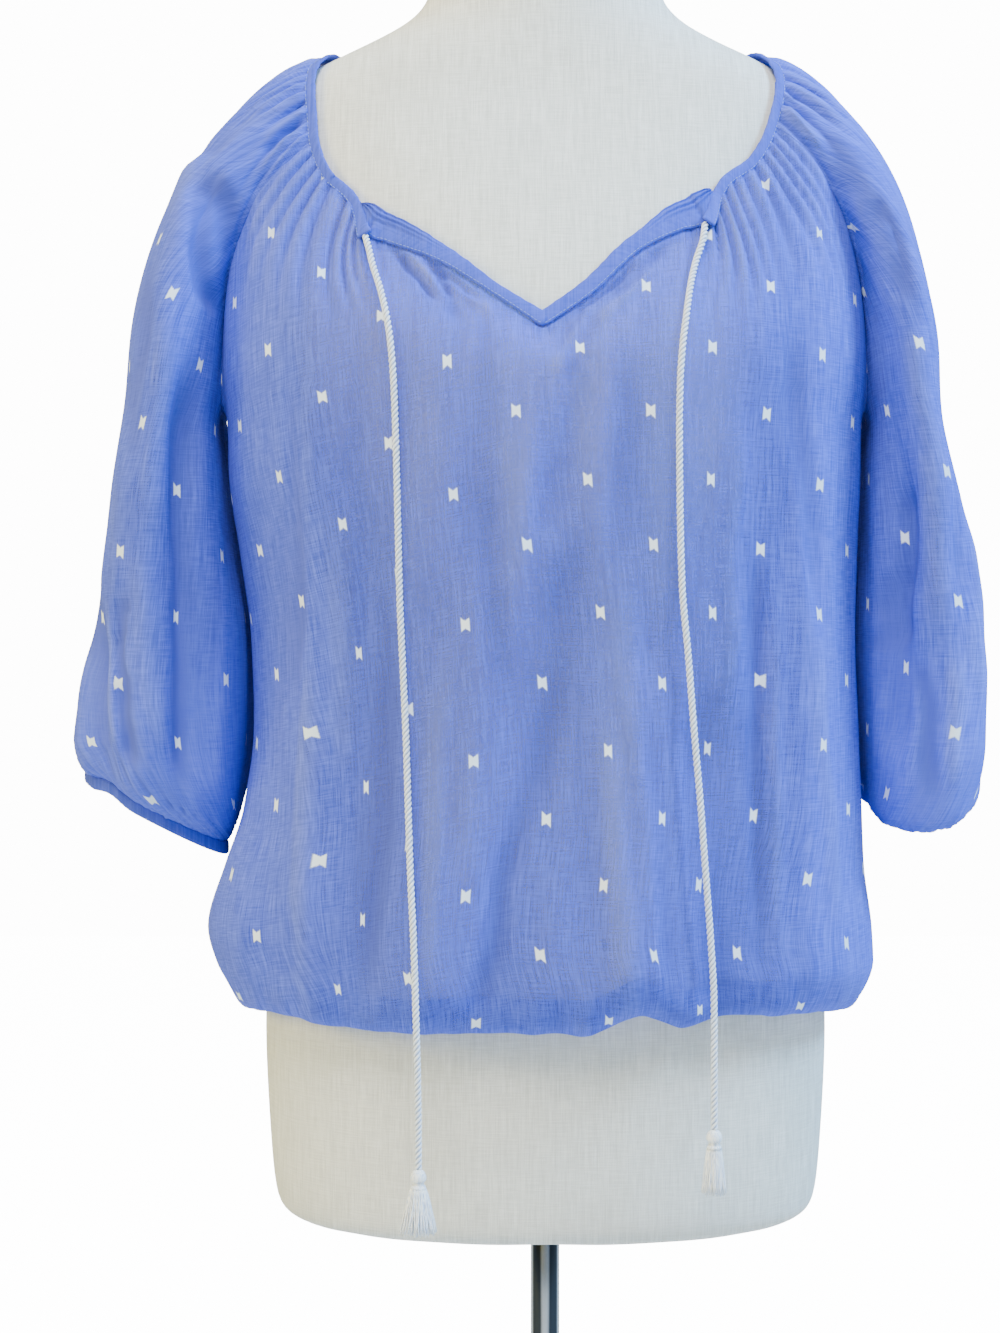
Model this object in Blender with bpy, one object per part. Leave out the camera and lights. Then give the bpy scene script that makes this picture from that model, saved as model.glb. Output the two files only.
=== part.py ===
"""A peasant blouse on a limbless dress form.

The blouse is built as it is sewn: front, back, two raglan sleeves, neck binding, slit bindings, cuffs, hem band
and two tied cords with tassels. Each piece of cloth is a closed wall over one shared draped surface.
Metres, +Z up. The blouse faces -Y, and the origin is the middle of the base's underside.
"""

import math

import bpy
from mathutils import Vector
from mathutils.bvhtree import BVHTree

# ---------------------------------------------------------------- stand
BASE_RADIUS = 0.155
BASE_EDGE = 0.006
BASE_CROWN = 0.018
COLLAR_RADIUS = 0.017
COLLAR_HEIGHT = 0.030
POLE_RADIUS = 0.0093
TOUCH_GAP = 0.0003
FORM_SIDES = 32
ROUND_SIDES = 32
POLE_SIDES = 20

# Height, half width, depth in front, depth behind and squareness.
FORM_SECTIONS = (
    (0.3510, 0.1600, 0.108, 0.098, 2.3),
    (0.3545, 0.1700, 0.117, 0.107, 2.3),
    (0.3640, 0.1755, 0.121, 0.111, 2.3),
    (0.4000, 0.1785, 0.123, 0.114, 2.3),
    (0.4500, 0.1815, 0.124, 0.117, 2.3),
    (0.4900, 0.1820, 0.123, 0.117, 2.3),
    (0.5400, 0.1770, 0.119, 0.112, 2.3),
    (0.6000, 0.1580, 0.109, 0.100, 2.2),
    (0.6600, 0.1340, 0.101, 0.088, 2.1),
    (0.7200, 0.1400, 0.108, 0.092, 2.1),
    (0.7800, 0.1530, 0.124, 0.101, 2.2),
    (0.8300, 0.1600, 0.132, 0.107, 2.3),
    (0.8800, 0.1660, 0.126, 0.111, 2.3),
    (0.9400, 0.1730, 0.108, 0.110, 2.3),
    (0.9900, 0.1800, 0.090, 0.104, 2.3),
    (1.0300, 0.1850, 0.075, 0.094, 2.3),
    (1.0600, 0.1830, 0.065, 0.083, 2.2),
    (1.0780, 0.1660, 0.062, 0.076, 2.1),
    (1.0920, 0.1400, 0.060, 0.070, 2.0),
    (1.1040, 0.1130, 0.058, 0.065, 2.0),
    (1.1150, 0.0920, 0.057, 0.061, 2.0),
    (1.1260, 0.0800, 0.056, 0.058, 2.0),
    (1.1400, 0.0735, 0.054, 0.056, 2.0),
    (1.1840, 0.0700, 0.052, 0.054, 2.0),
    (1.1900, 0.0670, 0.049, 0.051, 2.0),
)

# ---------------------------------------------------------------- cloth
WALL = 0.0012
SEAM_HALF_GAP = 0.00028
FORM_CLEARANCE = 0.0016
UNDERARM_HALF = 0.022

# Stations run from the slit's foot over the shoulder to the middle of the back: 4 is the slit's corner,
# 7 and 10 are the raglan seams. "fall" is how steeply the cloth leaves the neck, in degrees below level.
NECK_COLUMNS = ("station", "x", "y", "z", "fall", "reach")
NECK_RIGHT_HAND = (
    (0, -0.0035, -0.1222, 0.9050, 72, 0.010),
    (1, 0.0262, -0.1150, 0.9255, 70, 0.014),
    (2, 0.0560, -0.1030, 0.9540, 66, 0.022),
    (3, 0.0800, -0.0945, 0.9670, 62, 0.030),
    (4, 0.0985, -0.0870, 0.9750, 56, 0.036),
    (5, 0.1120, -0.0760, 0.9980, 50, 0.045),
    (6, 0.1300, -0.0655, 1.0130, 42, 0.055),
    (7, 0.1430, -0.0530, 1.0380, 34, 0.060),
    (8, 0.1500, -0.0380, 1.0680, 22, 0.068),
    (9, 0.1380, 0.0020, 1.0960, 14, 0.075),
    (10, 0.1080, 0.0640, 1.0760, 34, 0.060),
    (11, 0.0600, 0.0830, 1.0600, 62, 0.050),
    (12, 0.0000, 0.0900, 1.0520, 70, 0.050),
)
NECK_LEFT_HAND = (
    (0, -0.0035, -0.1222, 0.9050, 72, 0.010),
    (1, -0.0325, -0.1150, 0.9245, 70, 0.014),
    (2, -0.0640, -0.1035, 0.9460, 66, 0.022),
    (3, -0.0940, -0.0920, 0.9610, 62, 0.030),
    (4, -0.1115, -0.0835, 0.9710, 56, 0.036),
    (5, -0.1240, -0.0730, 0.9900, 50, 0.045),
    (6, -0.1385, -0.0640, 1.0050, 42, 0.055),
    (7, -0.1475, -0.0530, 1.0280, 34, 0.060),
    (8, -0.1505, -0.0380, 1.0640, 22, 0.068),
    (9, -0.1400, 0.0020, 1.0950, 14, 0.075),
    (10, -0.1080, 0.0640, 1.0760, 34, 0.060),
    (11, -0.0600, 0.0830, 1.0600, 62, 0.050),
    (12, 0.0000, 0.0900, 1.0520, 70, 0.050),
)
SLIT_FOOT, SLIT_CORNER, FRONT_SEAM, BACK_SEAM, BACK_MIDDLE = 0, 4, 7, 10, 12
# Cells across each stretch of one half, from the slit's foot to the middle of the back.
HALF_CELLS = ((SLIT_FOOT, SLIT_CORNER, 8), (SLIT_CORNER, FRONT_SEAM, 10), (FRONT_SEAM, BACK_SEAM, 18))
HALF_CELLS += ((BACK_SEAM, BACK_MIDDLE, 12),)
# How far round the body's quarter a front station has come when it reaches the underarm's height.
FRONT_SHARE = ((SLIT_FOOT, 0.0), (SLIT_CORNER, 0.46), (FRONT_SEAM, 1.0))
YOKE_STEPS = (0.0, 0.035, 0.09, 0.17, 0.27, 0.39, 0.53, 0.68, 0.84, 1.0)
# How much of its length each line of the yoke falls straight down at its end.
YOKE_ARRIVAL = 0.42

# Height, reach to the left, right, front and back, and squareness. The first row of each table lies at the
# underarm, where the sleeves leave the body, and the body's last rows roll under at the hem.
BODY_SECTIONS = (
    (0.8740, 0.2085, 0.2065, 0.1410, 0.1220, 2.35),
    (0.8680, 0.2050, 0.2030, 0.1415, 0.1220, 2.35),
    (0.8280, 0.2045, 0.2025, 0.1430, 0.1225, 2.30),
    (0.7750, 0.1975, 0.1995, 0.1445, 0.1235, 2.30),
    (0.7200, 0.1900, 0.1985, 0.1460, 0.1250, 2.30),
    (0.6600, 0.1885, 0.2000, 0.1480, 0.1270, 2.30),
    (0.6100, 0.1945, 0.2030, 0.1505, 0.1300, 2.30),
    (0.5750, 0.2060, 0.2045, 0.1535, 0.1325, 2.30),
    (0.5350, 0.2180, 0.2105, 0.1570, 0.1360, 2.30),
    (0.5130, 0.2120, 0.2115, 0.1575, 0.1360, 2.30),
    (0.4970, 0.2030, 0.2050, 0.1540, 0.1330, 2.30),
    (0.4865, 0.1955, 0.1965, 0.1450, 0.1270, 2.30),
    (0.4835, 0.1890, 0.1895, 0.1350, 0.1220, 2.30),
    (0.4895, 0.1858, 0.1858, 0.1268, 0.1208, 2.30),
)

# Height, x of the outer and inner side, depth in front and behind, tilt, sag at the front, squareness and how
# far the inner side reaches in behind the body.
LEFT_SLEEVE_SECTIONS = (
    (0.8740, 0.2680, 0.2085, 0.0860, 0.0860, 0.0, 0.0, 2.2, 0.0),
    (0.8680, 0.2690, 0.2120, 0.0860, 0.0860, 0.0, 0.0, 2.2, 0.006),
    (0.8280, 0.2760, 0.2085, 0.0840, 0.0840, 0.0, 0.0, 2.2, 0.040),
    (0.7750, 0.2850, 0.2020, 0.0800, 0.0810, 0.0, 0.0, 2.2, 0.050),
    (0.7200, 0.2940, 0.1950, 0.0770, 0.0790, 0.0, 0.0, 2.3, 0.050),
    (0.6750, 0.3010, 0.1935, 0.0740, 0.0760, 0.004, 0.0, 2.4, 0.040),
    (0.6430, 0.3020, 0.1965, 0.0690, 0.0710, 0.013, 0.002, 2.4, 0.025),
    (0.6240, 0.3000, 0.2010, 0.0560, 0.0580, 0.021, 0.004, 2.3, 0.008),
    (0.6110, 0.2970, 0.2070, 0.0370, 0.0370, 0.0235, 0.0, 2.1, 0.0),
)
RIGHT_SLEEVE_SECTIONS = (
    (0.8740, 0.2510, 0.2065, 0.0850, 0.0960, 0.0, 0.0, 2.2, 0.0),
    (0.8680, 0.2520, 0.2100, 0.0850, 0.0960, 0.0, 0.0, 2.2, 0.006),
    (0.8280, 0.2590, 0.2065, 0.0840, 0.0930, 0.0, 0.0, 2.2, 0.040),
    (0.7750, 0.2690, 0.2040, 0.0820, 0.0890, 0.0, 0.0, 2.2, 0.050),
    (0.7200, 0.2775, 0.2030, 0.0800, 0.0860, 0.0, 0.0, 2.3, 0.050),
    (0.6750, 0.2800, 0.2040, 0.0790, 0.0830, 0.0, 0.002, 2.4, 0.040),
    (0.6420, 0.2795, 0.2065, 0.0780, 0.0790, 0.002, 0.012, 2.4, 0.025),
    (0.6210, 0.2720, 0.2095, 0.0700, 0.0660, 0.006, 0.022, 2.3, 0.008),
    (0.6195, 0.2620, 0.2170, 0.0400, 0.0400, 0.008, 0.008, 2.1, 0.0),
)
CUFF_DROP = 0.0012
CUFF_DEPTH = 0.0070
CUFF_WALL = 0.0018
# The cuff under the right-hand sleeve's puff is sewn a little inside the sleeve's edge.
CUFF_INSETS = {-1: 0.0, 1: 0.0020}
HEM_BAND_DROP = 0.0014
HEM_BAND_DEPTH = 0.0130
HEM_BAND_WALL = 0.0016

# Soft vertical folds: x where the fold starts and ends, its highest and lowest height, half width and
# how far it stands out (a trough is below zero).
FRONT_FOLDS = (
    (0.022, 0.000, 0.910, 0.770, 0.010, -0.0040),
    (0.012, -0.041, 0.790, 0.480, 0.020, -0.0080),
    (-0.022, -0.085, 0.800, 0.480, 0.020, 0.0040),
    (-0.100, -0.118, 0.930, 0.480, 0.014, -0.0050),
    (-0.140, -0.150, 0.900, 0.540, 0.016, 0.0050),
    (-0.168, -0.165, 0.840, 0.500, 0.013, -0.0060),
    (0.052, 0.050, 0.720, 0.480, 0.018, 0.0060),
    (0.092, 0.102, 0.700, 0.480, 0.020, -0.0110),
    (0.125, 0.135, 0.900, 0.500, 0.013, -0.0050),
    (0.150, 0.160, 0.880, 0.500, 0.014, 0.0050),
    (0.078, 0.072, 0.960, 0.720, 0.012, 0.0030),
)
BACK_FOLDS = (
    (-0.150, -0.160, 0.900, 0.500, 0.015, 0.0060),
    (-0.120, -0.128, 0.960, 0.480, 0.014, -0.0060),
    (-0.080, -0.092, 0.900, 0.480, 0.020, 0.0060),
    (-0.035, -0.048, 0.980, 0.500, 0.016, -0.0070),
    (0.006, -0.004, 0.860, 0.480, 0.020, 0.0060),
    (0.046, 0.040, 0.980, 0.480, 0.015, -0.0060),
    (0.085, 0.088, 0.860, 0.480, 0.020, 0.0055),
    (0.122, 0.130, 0.940, 0.500, 0.014, -0.0060),
    (0.155, 0.160, 0.880, 0.520, 0.014, 0.0050),
)
# The same for a sleeve, placed by the share of the way round it from the front underarm seam over the outside.
LEFT_SLEEVE_FOLDS = (
    (0.34, 0.30, 0.760, 0.618, 0.045, -0.0130),
    (0.16, 0.14, 0.900, 0.620, 0.040, -0.0080),
    (0.24, 0.22, 0.860, 0.640, 0.040, 0.0050),
    (0.50, 0.52, 0.900, 0.630, 0.040, 0.0030),
    (0.66, 0.68, 0.880, 0.620, 0.045, -0.0100),
    (0.84, 0.82, 0.860, 0.620, 0.040, -0.0070),
)
RIGHT_SLEEVE_FOLDS = (
    (0.36, 0.42, 0.820, 0.622, 0.045, -0.0120),
    (0.14, 0.12, 0.860, 0.640, 0.040, -0.0080),
    (0.25, 0.27, 0.860, 0.622, 0.045, 0.0060),
    (0.60, 0.62, 0.900, 0.622, 0.045, -0.0090),
    (0.80, 0.78, 0.860, 0.630, 0.045, -0.0080),
)
# The hem's edge lifts here and there: x, lift and half width.
HEM_LIFTS = ((0.052, 0.0150, 0.014), (0.135, 0.0060, 0.040), (-0.165, 0.0040, 0.020))
HEM_LIFT_TOP = 0.550

GATHER_RELIEF = 0.0017
GATHER_LENGTH = 0.085
CUFF_GATHER = 0.0016
CUFF_GATHER_TOP = 0.660
HEM_GATHER = 0.0014
HEM_GATHER_TOP = 0.530

# ---------------------------------------------------------------- trims
BINDING_GAP = 0.0012
BINDING_HALF_WALL = 0.0011
NECK_BINDING_WIDTH = 0.0062
SLIT_WIDTHS = ((SLIT_FOOT, 0.0080), (1, 0.0085), (3, 0.0115), (SLIT_CORNER, 0.0135))
CORD_DIAMETER = 0.0042
CORD_POINTS = 46
CORD_BEVEL_STEPS = 2
# Each cord leaves its slit corner, lies down the front and hangs clear below the hem.
LEFT_CORD_ROUTE = (
    (-0.1123, -0.0884, 0.9665),
    (-0.1095, -0.0968, 0.9569),
    (-0.1062, -0.1048, 0.9438),
    (-0.1009, -0.1160, 0.9269),
    (-0.0965, -0.1256, 0.9078),
    (-0.0937, -0.1308, 0.8878),
    (-0.0921, -0.1321, 0.8646),
    (-0.0908, -0.1336, 0.8287),
    (-0.0897, -0.1348, 0.7873),
    (-0.0885, -0.1351, 0.7397),
    (-0.0866, -0.1370, 0.6997),
    (-0.0845, -0.1404, 0.6548),
    (-0.0828, -0.1463, 0.6077),
    (-0.0815, -0.1514, 0.5768),
    (-0.0800, -0.1568, 0.5499),
    (-0.0788, -0.1583, 0.5197),
    (-0.0778, -0.1622, 0.4900),
    (-0.0770, -0.1625, 0.4600),
    (-0.0766, -0.1625, 0.4300),
    (-0.0766, -0.1625, 0.4095),
)
RIGHT_CORD_ROUTE = (
    (0.0958, -0.0933, 0.9708),
    (0.0940, -0.1006, 0.9605),
    (0.0888, -0.1090, 0.9451),
    (0.0843, -0.1223, 0.9271),
    (0.0812, -0.1326, 0.9089),
    (0.0785, -0.1386, 0.8899),
    (0.0769, -0.1408, 0.8677),
    (0.0764, -0.1414, 0.8396),
    (0.0766, -0.1429, 0.7998),
    (0.0778, -0.1432, 0.7498),
    (0.0815, -0.1448, 0.7050),
    (0.0850, -0.1448, 0.6600),
    (0.0885, -0.1447, 0.6200),
    (0.0915, -0.1446, 0.5800),
    (0.0945, -0.1446, 0.5400),
    (0.0964, -0.1446, 0.5050),
    (0.0966, -0.1446, 0.4750),
    (0.0966, -0.1446, 0.4500),
    (0.0966, -0.1446, 0.4290),
)
# A tassel's head as (share of its radius, drop below the cord), then its skirt of loose strands.
TASSEL_HEAD = ((0.55, 0.0000), (0.95, 0.0012), (1.00, 0.0040), (0.72, 0.0070), (0.80, 0.0085), (1.00, 0.0110))
TASSEL_HEAD_RADIUS = 0.0047
TASSEL_SIDES = 12
# Strands in each ring of the skirt, the radius at their roots and their share of the flare.
STRAND_RINGS = ((14, 0.0037, 1.0), (8, 0.0018, 0.55))
STRAND_RADIUS = 0.0006
STRAND_ROOT_DEPTH = 0.0020
STRAND_STEPS = (0.0, 0.45, 1.0)
TASSELS = {"left_hand": (LEFT_CORD_ROUTE, 0.0265, 0.0105), "right_hand": (RIGHT_CORD_ROUTE, 0.0270, 0.0070)}

# ---------------------------------------------------------------- finishes
# Colour, roughness and metallic value.
CHROME = ((0.72, 0.74, 0.77), 0.12, 1.0)
LINEN = ((0.66, 0.67, 0.64), 0.85, 0.0)
CHAMBRAY = ((0.22, 0.31, 0.66), 0.85, 0.0)
CHAMBRAY_BINDING = ((0.19, 0.28, 0.62), 0.85, 0.0)
WHITE_COTTON = ((0.86, 0.88, 0.90), 0.80, 0.0)


# ---------------------------------------------------------------- curves, rings and objects
def smooth_through(keys, values):
    """A smooth function through these values that never swings past them."""
    steps = [(values[i + 1] - values[i]) / (keys[i + 1] - keys[i]) for i in range(len(keys) - 1)]
    slopes = [steps[0]]
    for before, after in zip(steps, steps[1:]):
        slopes.append(2 * before * after / (before + after) if before * after > 0 else 0.0)
    slopes.append(steps[-1])

    def value(key):
        if key <= keys[0]:
            return values[0]
        if key >= keys[-1]:
            return values[-1]
        i = max(j for j in range(len(keys) - 1) if keys[j] <= key)
        span = keys[i + 1] - keys[i]
        t = (key - keys[i]) / span
        return (
            values[i] * (1 + 2 * t) * (1 - t) ** 2
            + slopes[i] * span * t * (1 - t) ** 2
            + values[i + 1] * t * t * (3 - 2 * t)
            + slopes[i + 1] * span * t * t * (t - 1)
        )

    return value


def columns_of(names, rows):
    """The table's columns as smooth functions of its first one, by name."""
    rows = sorted(rows)
    keys = [row[0] for row in rows]
    return {name: smooth_through(keys, [row[i] for row in rows]) for i, name in enumerate(names) if i}


def power(value, exponent):
    return math.copysign(abs(value) ** exponent, value)


def material(name, finish):
    colour, roughness, metallic = finish
    made = bpy.data.materials.new(name)
    made.use_nodes = True
    shader = made.node_tree.nodes["Principled BSDF"]
    shader.inputs["Base Color"].default_value = (*colour, 1.0)
    shader.inputs["Roughness"].default_value = roughness
    shader.inputs["Metallic"].default_value = metallic
    return made


def add_object(name, mesh, finish):
    mesh.materials.append(finish)
    made = bpy.data.objects.new(name, mesh)
    bpy.context.scene.collection.objects.link(made)
    return made


def object_from_faces(name, points, faces, finish):
    mesh = bpy.data.meshes.new(name)
    mesh.from_pydata([tuple(point) for point in points], [], faces)
    mesh.update()
    mesh.shade_smooth()
    return add_object(name, mesh, finish)


def stacked_rings(name, rings, finish):
    """A closed solid through rings of equal count, lowest first, each turning from +X to +Y."""
    count = len(rings[0])
    points = [point for ring in rings for point in ring]
    faces = []
    for row in range(len(rings) - 1):
        for i in range(count):
            a, b = row * count + i, row * count + (i + 1) % count
            faces.append((a, b, b + count, a + count))
    faces.append(tuple(reversed(range(count))))
    faces.append(tuple(range(len(points) - count, len(points))))
    return object_from_faces(name, points, faces, finish)


def turned(name, profile, sides, finish):
    """A solid turned about the Z axis from (radius, height) pairs, lowest first."""
    angles = [2 * math.pi * i / sides for i in range(sides)]
    rings = [[(r * math.cos(a), r * math.sin(a), z) for a in angles] for r, z in profile]
    return stacked_rings(name, rings, finish)


def form_ring(row):
    height, half_width, front, back, squareness = row
    ring = []
    for i in range(FORM_SIDES):
        turn = 2 * math.pi * i / FORM_SIDES
        across = power(math.cos(turn), 2 / squareness)
        deep = power(math.sin(turn), 2 / squareness)
        ring.append(Vector((half_width * across, (front if deep < 0 else back) * deep, height)))
    return ring


def make_stand():
    chrome = material("chrome", CHROME)
    linen = material("linen_cover", LINEN)
    turned(
        "base",
        [(BASE_RADIUS, 0.0), (BASE_RADIUS, BASE_EDGE), (BASE_RADIUS - 0.012, BASE_EDGE + 0.004)]
        + [(0.5 * BASE_RADIUS, BASE_CROWN - 0.003), (COLLAR_RADIUS + 0.008, BASE_CROWN)],
        ROUND_SIDES,
        chrome,
    )
    collar_foot = BASE_CROWN + TOUCH_GAP
    pole_foot = collar_foot + COLLAR_HEIGHT + TOUCH_GAP
    turned(
        "base_collar",
        [(COLLAR_RADIUS, collar_foot), (COLLAR_RADIUS, collar_foot + COLLAR_HEIGHT - 0.004)]
        + [(COLLAR_RADIUS - 0.004, collar_foot + COLLAR_HEIGHT)],
        POLE_SIDES,
        chrome,
    )
    pole_top = FORM_SECTIONS[0][0] - TOUCH_GAP
    turned("pole", [(POLE_RADIUS, pole_foot), (POLE_RADIUS, pole_top)], POLE_SIDES, chrome)
    return stacked_rings("dress_form", [form_ring(row) for row in FORM_SECTIONS], linen)


# ---------------------------------------------------------------- draping
def bump(offset, half_width):
    """One at the middle, falling smoothly to zero at twice the half width."""
    t = min(abs(offset) / (2 * half_width), 1.0)
    return (1 - t * t) ** 2


def fade(value, low, high):
    t = min(max((value - low) / (high - low), 0.0), 1.0)
    return t * t * (3 - 2 * t)


def fold_relief(folds, place, height):
    """What the folds add to the surface at this place and height."""
    total = 0.0
    for start, end, top, foot, half_width, relief in folds:
        run = min(max((top - height) / (top - foot), 0.0), 1.0)
        middle = start + (end - start) * run
        ends = fade(height, foot - 0.005, foot + 0.030) * fade(-height, -top, 0.06 - top)
        total += relief * ends * bump(place - middle, half_width)
    return total


def gather_size(index):
    """An uneven size for each small gather, between about 0.6 and 1.4."""
    return 1.0 + 0.28 * math.sin(2.3 * index + 0.7) + 0.12 * math.sin(5.1 * index)


def spaced(points, shares):
    """The points at these shares of the way along a line of many points."""
    run = [0.0]
    for a, b in zip(points, points[1:]):
        run.append(run[-1] + math.dist(a, b))
    found, i = [], 0
    for share in shares:
        goal = share * run[-1]
        while i < len(run) - 2 and run[i + 1] < goal:
            i += 1
        t = (goal - run[i]) / (run[i + 1] - run[i])
        found.append(tuple(a + (b - a) * t for a, b in zip(points[i], points[i + 1])))
    return found


def oval_point(turn, squareness, left, right, front, back):
    across = power(math.cos(turn), 2 / squareness)
    deep = power(math.sin(turn), 2 / squareness)
    middle, half = (right - left) / 2, (right + left) / 2
    return (middle + half * across, (front if deep < 0 else back) * deep)


def seam_turn(depth, squareness):
    """The angle past the X axis where the oval is this far from it, as a share of its depth there."""
    return math.asin(min((UNDERARM_HALF / depth) ** (squareness / 2), 1.0))


class Drape:
    """The whole blouse as one surface of shared points, each face marked with its piece."""

    def __init__(self):
        self.index = {}
        self.points = []
        self.relief = []
        self.faces = []

    def add(self, key, point, relief=0.0):
        if key not in self.index:
            self.index[key] = len(self.points)
            self.points.append(Vector(point))
            self.relief.append(relief)
        return self.index[key]

    def join(self, piece, upper, lower):
        """Two neighbours along an upper row and the same two along the lower, turning left seen from above."""
        self.faces.append((piece, (upper[0], lower[0], lower[1], upper[1])))

    def normals(self):
        sums = [Vector() for _ in self.points]
        for _, face in self.faces:
            a, b, c, d = (self.points[i] for i in face)
            across = (c - a).cross(d - b)
            for i in face:
                sums[i] += across
        return [total.normalized() for total in sums]


def half_stations():
    stations = [0.0]
    for start, end, cells in HALF_CELLS:
        stations += [start + (end - start) * (i + 1) / cells for i in range(cells)]
    return stations


def piece_at(side, station):
    if station < FRONT_SEAM:
        return "front"
    if station > BACK_SEAM:
        return "back"
    return "sleeve_left_hand" if side < 0 else "sleeve_right_hand"


def body_quarter(row, side, face):
    """Points along one quarter of a body section, from the middle of its front or back to the underarm."""
    height, left, right, front, back, squareness = row
    depth = front if face == "front" else back
    seam = seam_turn(depth, squareness)
    turns = [math.pi / 2 - (math.pi / 2 - seam) * i / 60 for i in range(61)]
    sign = -1 if face == "front" else 1
    line = [oval_point(sign * turn, squareness, left, right, front, back) for turn in turns]
    if side > 0:
        return line
    return [oval_point(sign * (math.pi - turn), squareness, left, right, front, back) for turn in turns]


def sleeve_loop(row):
    """Points round a sleeve section from the front underarm seam over the outside to the back one."""
    height, outer, inner, front, back, tilt, sag, squareness, tuck = row
    start = math.pi + seam_turn(front, squareness) - 2 * math.pi
    end = math.pi - seam_turn(back, squareness)
    loop = []
    for i in range(91):
        x, y = oval_point(start + (end - start) * i / 90, squareness, -inner, outer, front, back)
        inward = max(outer + inner - 2 * x, 0.0) / (outer - inner)
        loop.append((x - tuck * inward * (max(y, 0.0) / back) ** 2, y))
    return loop


def sleeve_place(row, side, x, y, height_shift=0.0):
    """A point of a sleeve section in space: tilted across, sagging at the front."""
    height, outer, inner, front, back, tilt, sag, squareness, tuck = row
    lean = tilt * (x - (outer + inner) / 2) / ((outer - inner) / 2)
    return (side * x, y, height + lean - sag * max(-y / front, 0.0) + height_shift)


def neck_functions():
    return {
        1: columns_of(NECK_COLUMNS, NECK_RIGHT_HAND),
        -1: columns_of(NECK_COLUMNS, NECK_LEFT_HAND),
    }


def yoke_foot(side, station, share_at):
    """Where a line of the yoke ends, on the first of the sections under it."""
    if station <= FRONT_SEAM:
        (x, y), = spaced(body_quarter(BODY_SECTIONS[0], side, "front"), [share_at(station)])
    elif station >= BACK_SEAM:
        share = (BACK_MIDDLE - station) / (BACK_MIDDLE - BACK_SEAM)
        (x, y), = spaced(body_quarter(BODY_SECTIONS[0], side, "back"), [share])
    else:
        (x, y), = spaced(sleeve_loop(sleeve_sections(side)[0]), [sleeve_share(station)])
        x *= side
    return Vector((x, y, BODY_SECTIONS[0][0]))


def sleeve_share(station):
    return (station - FRONT_SEAM) / (BACK_SEAM - FRONT_SEAM)


def sleeve_sections(side):
    return LEFT_SLEEVE_SECTIONS if side < 0 else RIGHT_SLEEVE_SECTIONS


def sleeve_folds(side):
    return LEFT_SLEEVE_FOLDS if side < 0 else RIGHT_SLEEVE_FOLDS


def gather_relief(place, station, distance):
    rise = 0.35 + 0.65 * fade(distance, 0.0, 0.006)
    size = gather_size(place)
    calm = 0.35 if station < SLIT_CORNER - 0.6 else 1.0
    return GATHER_RELIEF * size * calm * rise * (1 - fade(distance, 0.012, GATHER_LENGTH * size))


def drape_yoke(drape, ring, neck, form_tree):
    share_at = smooth_through([row[0] for row in FRONT_SHARE], [row[1] for row in FRONT_SHARE])
    rows = []
    for place, (side, station) in enumerate(ring):
        at = neck[side]
        start = Vector((at["x"](station), at["y"](station), at["z"](station)))
        start = clear_of_form(start, form_tree, FORM_CLEARANCE + GATHER_RELIEF)
        foot = yoke_foot(side, station, share_at)
        out = Vector((start.x, start.y + 0.02, 0.0)).normalized()
        fall = math.radians(at["fall"](station))
        heading = out * math.cos(fall) - Vector((0, 0, math.sin(fall)))
        leave = start + at["reach"](station) * heading
        arrive = foot + Vector((0, 0, YOKE_ARRIVAL * (start - foot).length))
        line, distance = [], 0.0
        for step, t in enumerate(YOKE_STEPS):
            u = 1 - t
            point = u**3 * start + 3 * u * u * t * leave + 3 * u * t * t * arrive + t**3 * foot
            point = clear_of_form(point, form_tree, FORM_CLEARANCE + GATHER_RELIEF)
            if line:
                distance += (point - drape.points[line[-1]]).length
            sign = 1 if place % 2 else -1
            relief = sign * gather_relief(place, station, distance)
            if station <= FRONT_SEAM:
                fold = fold_relief(FRONT_FOLDS, point.x, point.z)
            elif station >= BACK_SEAM:
                fold = fold_relief(BACK_FOLDS, point.x, point.z)
            else:
                fold = fold_relief(sleeve_folds(side), sleeve_share(station), point.z)
            relief += fold * fade(distance, 0.01, 0.05)
            last = step == len(YOKE_STEPS) - 1
            key = ("rim", side, station) if last else ("yoke", side, station, step)
            line.append(drape.add(key, point, relief))
        rows.append(line)
    for i, line in enumerate(rows):
        following = rows[(i + 1) % len(rows)]
        a, b = ring[i], ring[(i + 1) % len(rows)]
        piece = piece_at(a[0] if a[1] not in (SLIT_FOOT, BACK_MIDDLE) else b[0], (a[1] + b[1]) / 2)
        for step in range(len(YOKE_STEPS) - 1):
            drape.join(piece, (line[step], following[step]), (line[step + 1], following[step + 1]))


def hem_lift(x, height):
    weight = 1 - fade(height, 0.50, HEM_LIFT_TOP)
    return weight * sum(lift * bump(x - middle, half) for middle, lift, half in HEM_LIFTS)


def ring_faces(drape, rows, pieces):
    count = len(rows[0])
    for upper, lower in zip(rows, rows[1:]):
        for i in range(count):
            j = (i + 1) % count
            drape.join(pieces[i], (upper[i], upper[j]), (lower[i], lower[j]))


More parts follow.
